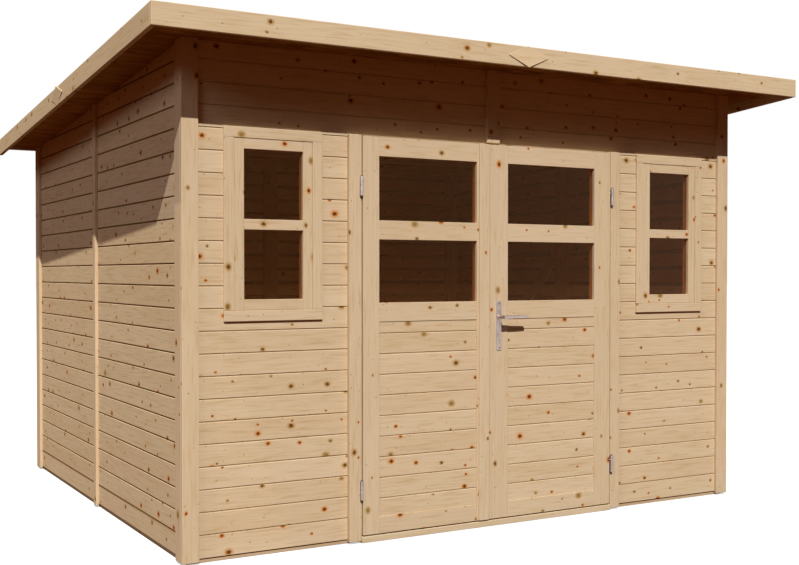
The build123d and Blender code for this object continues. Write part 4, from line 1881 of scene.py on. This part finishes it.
@dataclass
class Studio:
    """The pale floor, the lamps, the world and the camera."""

    eye: tuple[float, float, float] = (-2.986, -5.528, 1.176)
    turn: float = -29.867
    pitch: float = -0.963
    lens: float = 50.61
    shift: float = 0.0124
    ambient: Colour = (0.070, 0.038, 0.026)
    window_light: float = 8.0
    floor_size: float = 160
    floor_pale: Colour = (0.96, 0.96, 0.96)
    floor_dim: Colour = (0.062, 0.020, 0.007)
    lamps: tuple[Lamp, ...] = (
        Lamp("Key", (-0.222, -0.648, 0.710), 4.0, 0.5),
        Lamp("Left fill", (-0.80, -0.36, 0.48), 0.69, 26.0, (0.96, 0.93, 1.0)),
        Lamp("Top fill", (-0.316, -0.06, 0.947), 1.7, 0.6, (1.0, 0.94, 0.76)),
        Lamp("Rear fill", (0.62, 0.62, 0.48), 1.5, 50.0, (1.0, 0.97, 0.92)),
    )

    def camera(self) -> None:
        """Sets the camera where the photograph's was."""
        data = bpy.data.cameras.new("Camera")
        data.lens, data.shift_y = self.lens, self.shift
        data.clip_end = 200
        camera = bpy.data.objects.new("Camera", data)
        camera.location = self.eye
        camera.rotation_euler = (math.radians(90 + self.pitch), 0, math.radians(self.turn))
        bpy.context.collection.objects.link(camera)
        bpy.context.scene.camera = camera

    def world(self) -> None:
        """A world that is white where it is seen, and a dim warm fill elsewhere, stronger behind glass."""
        world = bpy.data.worlds.new("Studio")
        world.use_nodes = True
        bpy.context.scene.world = world
        g = Graph(world.node_tree)
        shown = g.add("Background", {"Color": WHITE, "Strength": 1.0})
        glazed = g.math("GREATER_THAN", g.add("LightPath").outputs["Transparent Depth"], 0.5)
        strength = g.line(glazed, self.window_light, 1.0)
        fill = g.add("Background", {"Color": self.ambient, "Strength": strength})
        mixed = g.add("MixShader", {0: self.seen(g), 1: fill.outputs[0], 2: shown.outputs[0]})
        g.feed(g.tree.nodes["World Output"], {"Surface": mixed.outputs[0]})

    @staticmethod
    def seen(g: Graph) -> Socket:
        """Tells the rays that show the background, itself or in gloss or glass.

        Args:
            g: The graph to write in.

        Returns:
            1 for those rays and 0 for the others.
        """
        path = g.add("LightPath").outputs
        shown = g.math("MAXIMUM", path["Is Camera Ray"], path["Is Glossy Ray"])
        shown = g.math("MAXIMUM", shown, path["Is Transmission Ray"])
        return g.times(shown, g.math("LESS_THAN", path["Diffuse Depth"], 0.5))

    def floor(self) -> None:
        """A wide pale floor that keeps the shed's shadow and throws little light back."""
        bpy.ops.object.select_all(action="DESELECT")
        bpy.ops.mesh.primitive_plane_add(size=self.floor_size)
        floor = bpy.context.active_object
        floor.name = "studio_floor"
        material = bpy.data.materials.new("Studio floor")
        material.use_nodes = True
        g = Graph(material.node_tree)
        pale = g.add("BsdfDiffuse", {"Color": self.floor_pale})
        glow = g.add("Emission", {"Color": WHITE, "Strength": 1.0})
        shown = g.add("MixShader", {0: 0.5, 1: pale.outputs[0], 2: glow.outputs[0]})
        dim = g.add("BsdfDiffuse", {"Color": self.floor_dim})
        mixed = g.add("MixShader", {0: self.seen(g), 1: dim.outputs[0], 2: shown.outputs[0]})
        g.feed(g.tree.nodes["Material Output"], {"Surface": mixed.outputs[0]})
        floor.data.materials.append(material)
        floor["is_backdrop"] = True

    def build(self) -> None:
        """Builds the studio and sets how its colours are shown."""
        bpy.context.scene.view_settings.view_transform = "Standard"
        self.camera()
        for lamp in self.lamps:
            lamp.build()
        self.world()
        self.floor()


def dress_glass(finishes: Finishes) -> None:
    """Gives the panes, which stay as packed, their glass.

    Args:
        finishes: The shed's finishes.
    """
    for node in ("window_glass", "left_leaf_glass", "right_leaf_glass"):
        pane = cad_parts[node]
        pane.data.materials.clear()
        pane.data.materials.append(finishes.glass)
        LOG.info("%s keeps its packed shape", node)


def write_sizes() -> None:
    boxes = {"cad": CAD_BOX, "visual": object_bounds()}
    {key: [list(corner) for corner in box] for key, box in boxes.items()}


def main() -> None:
    """Builds every sub-assembly in order."""
    logging.basicConfig(level=logging.INFO, format="%(name)s: %(message)s")
    plan, finishes = Plan(), Finishes()
    joiner = Joiner(plan, seed=11)
    boards = Matchboard(joiner)
    Studio().build()
    BoardedWalls(finishes, plan, joiner, boards).build()
    for sub_assembly in (Base, Trims, Windows, Studwork, Roof):
        sub_assembly(finishes, plan, joiner).build()
    for side, stiles in ((Side.LEFT, (0.080, 0.065)), (Side.RIGHT, (0.104, 0.100))):
        DoorLeaf(finishes, plan, joiner, boards, side, stiles).build()
    Hinges(finishes).build()
    Handle(finishes).build()
    dress_glass(finishes)
    bpy.data.objects.remove(boards.master)
    write_sizes()


if __name__ == "__main__":
    main()
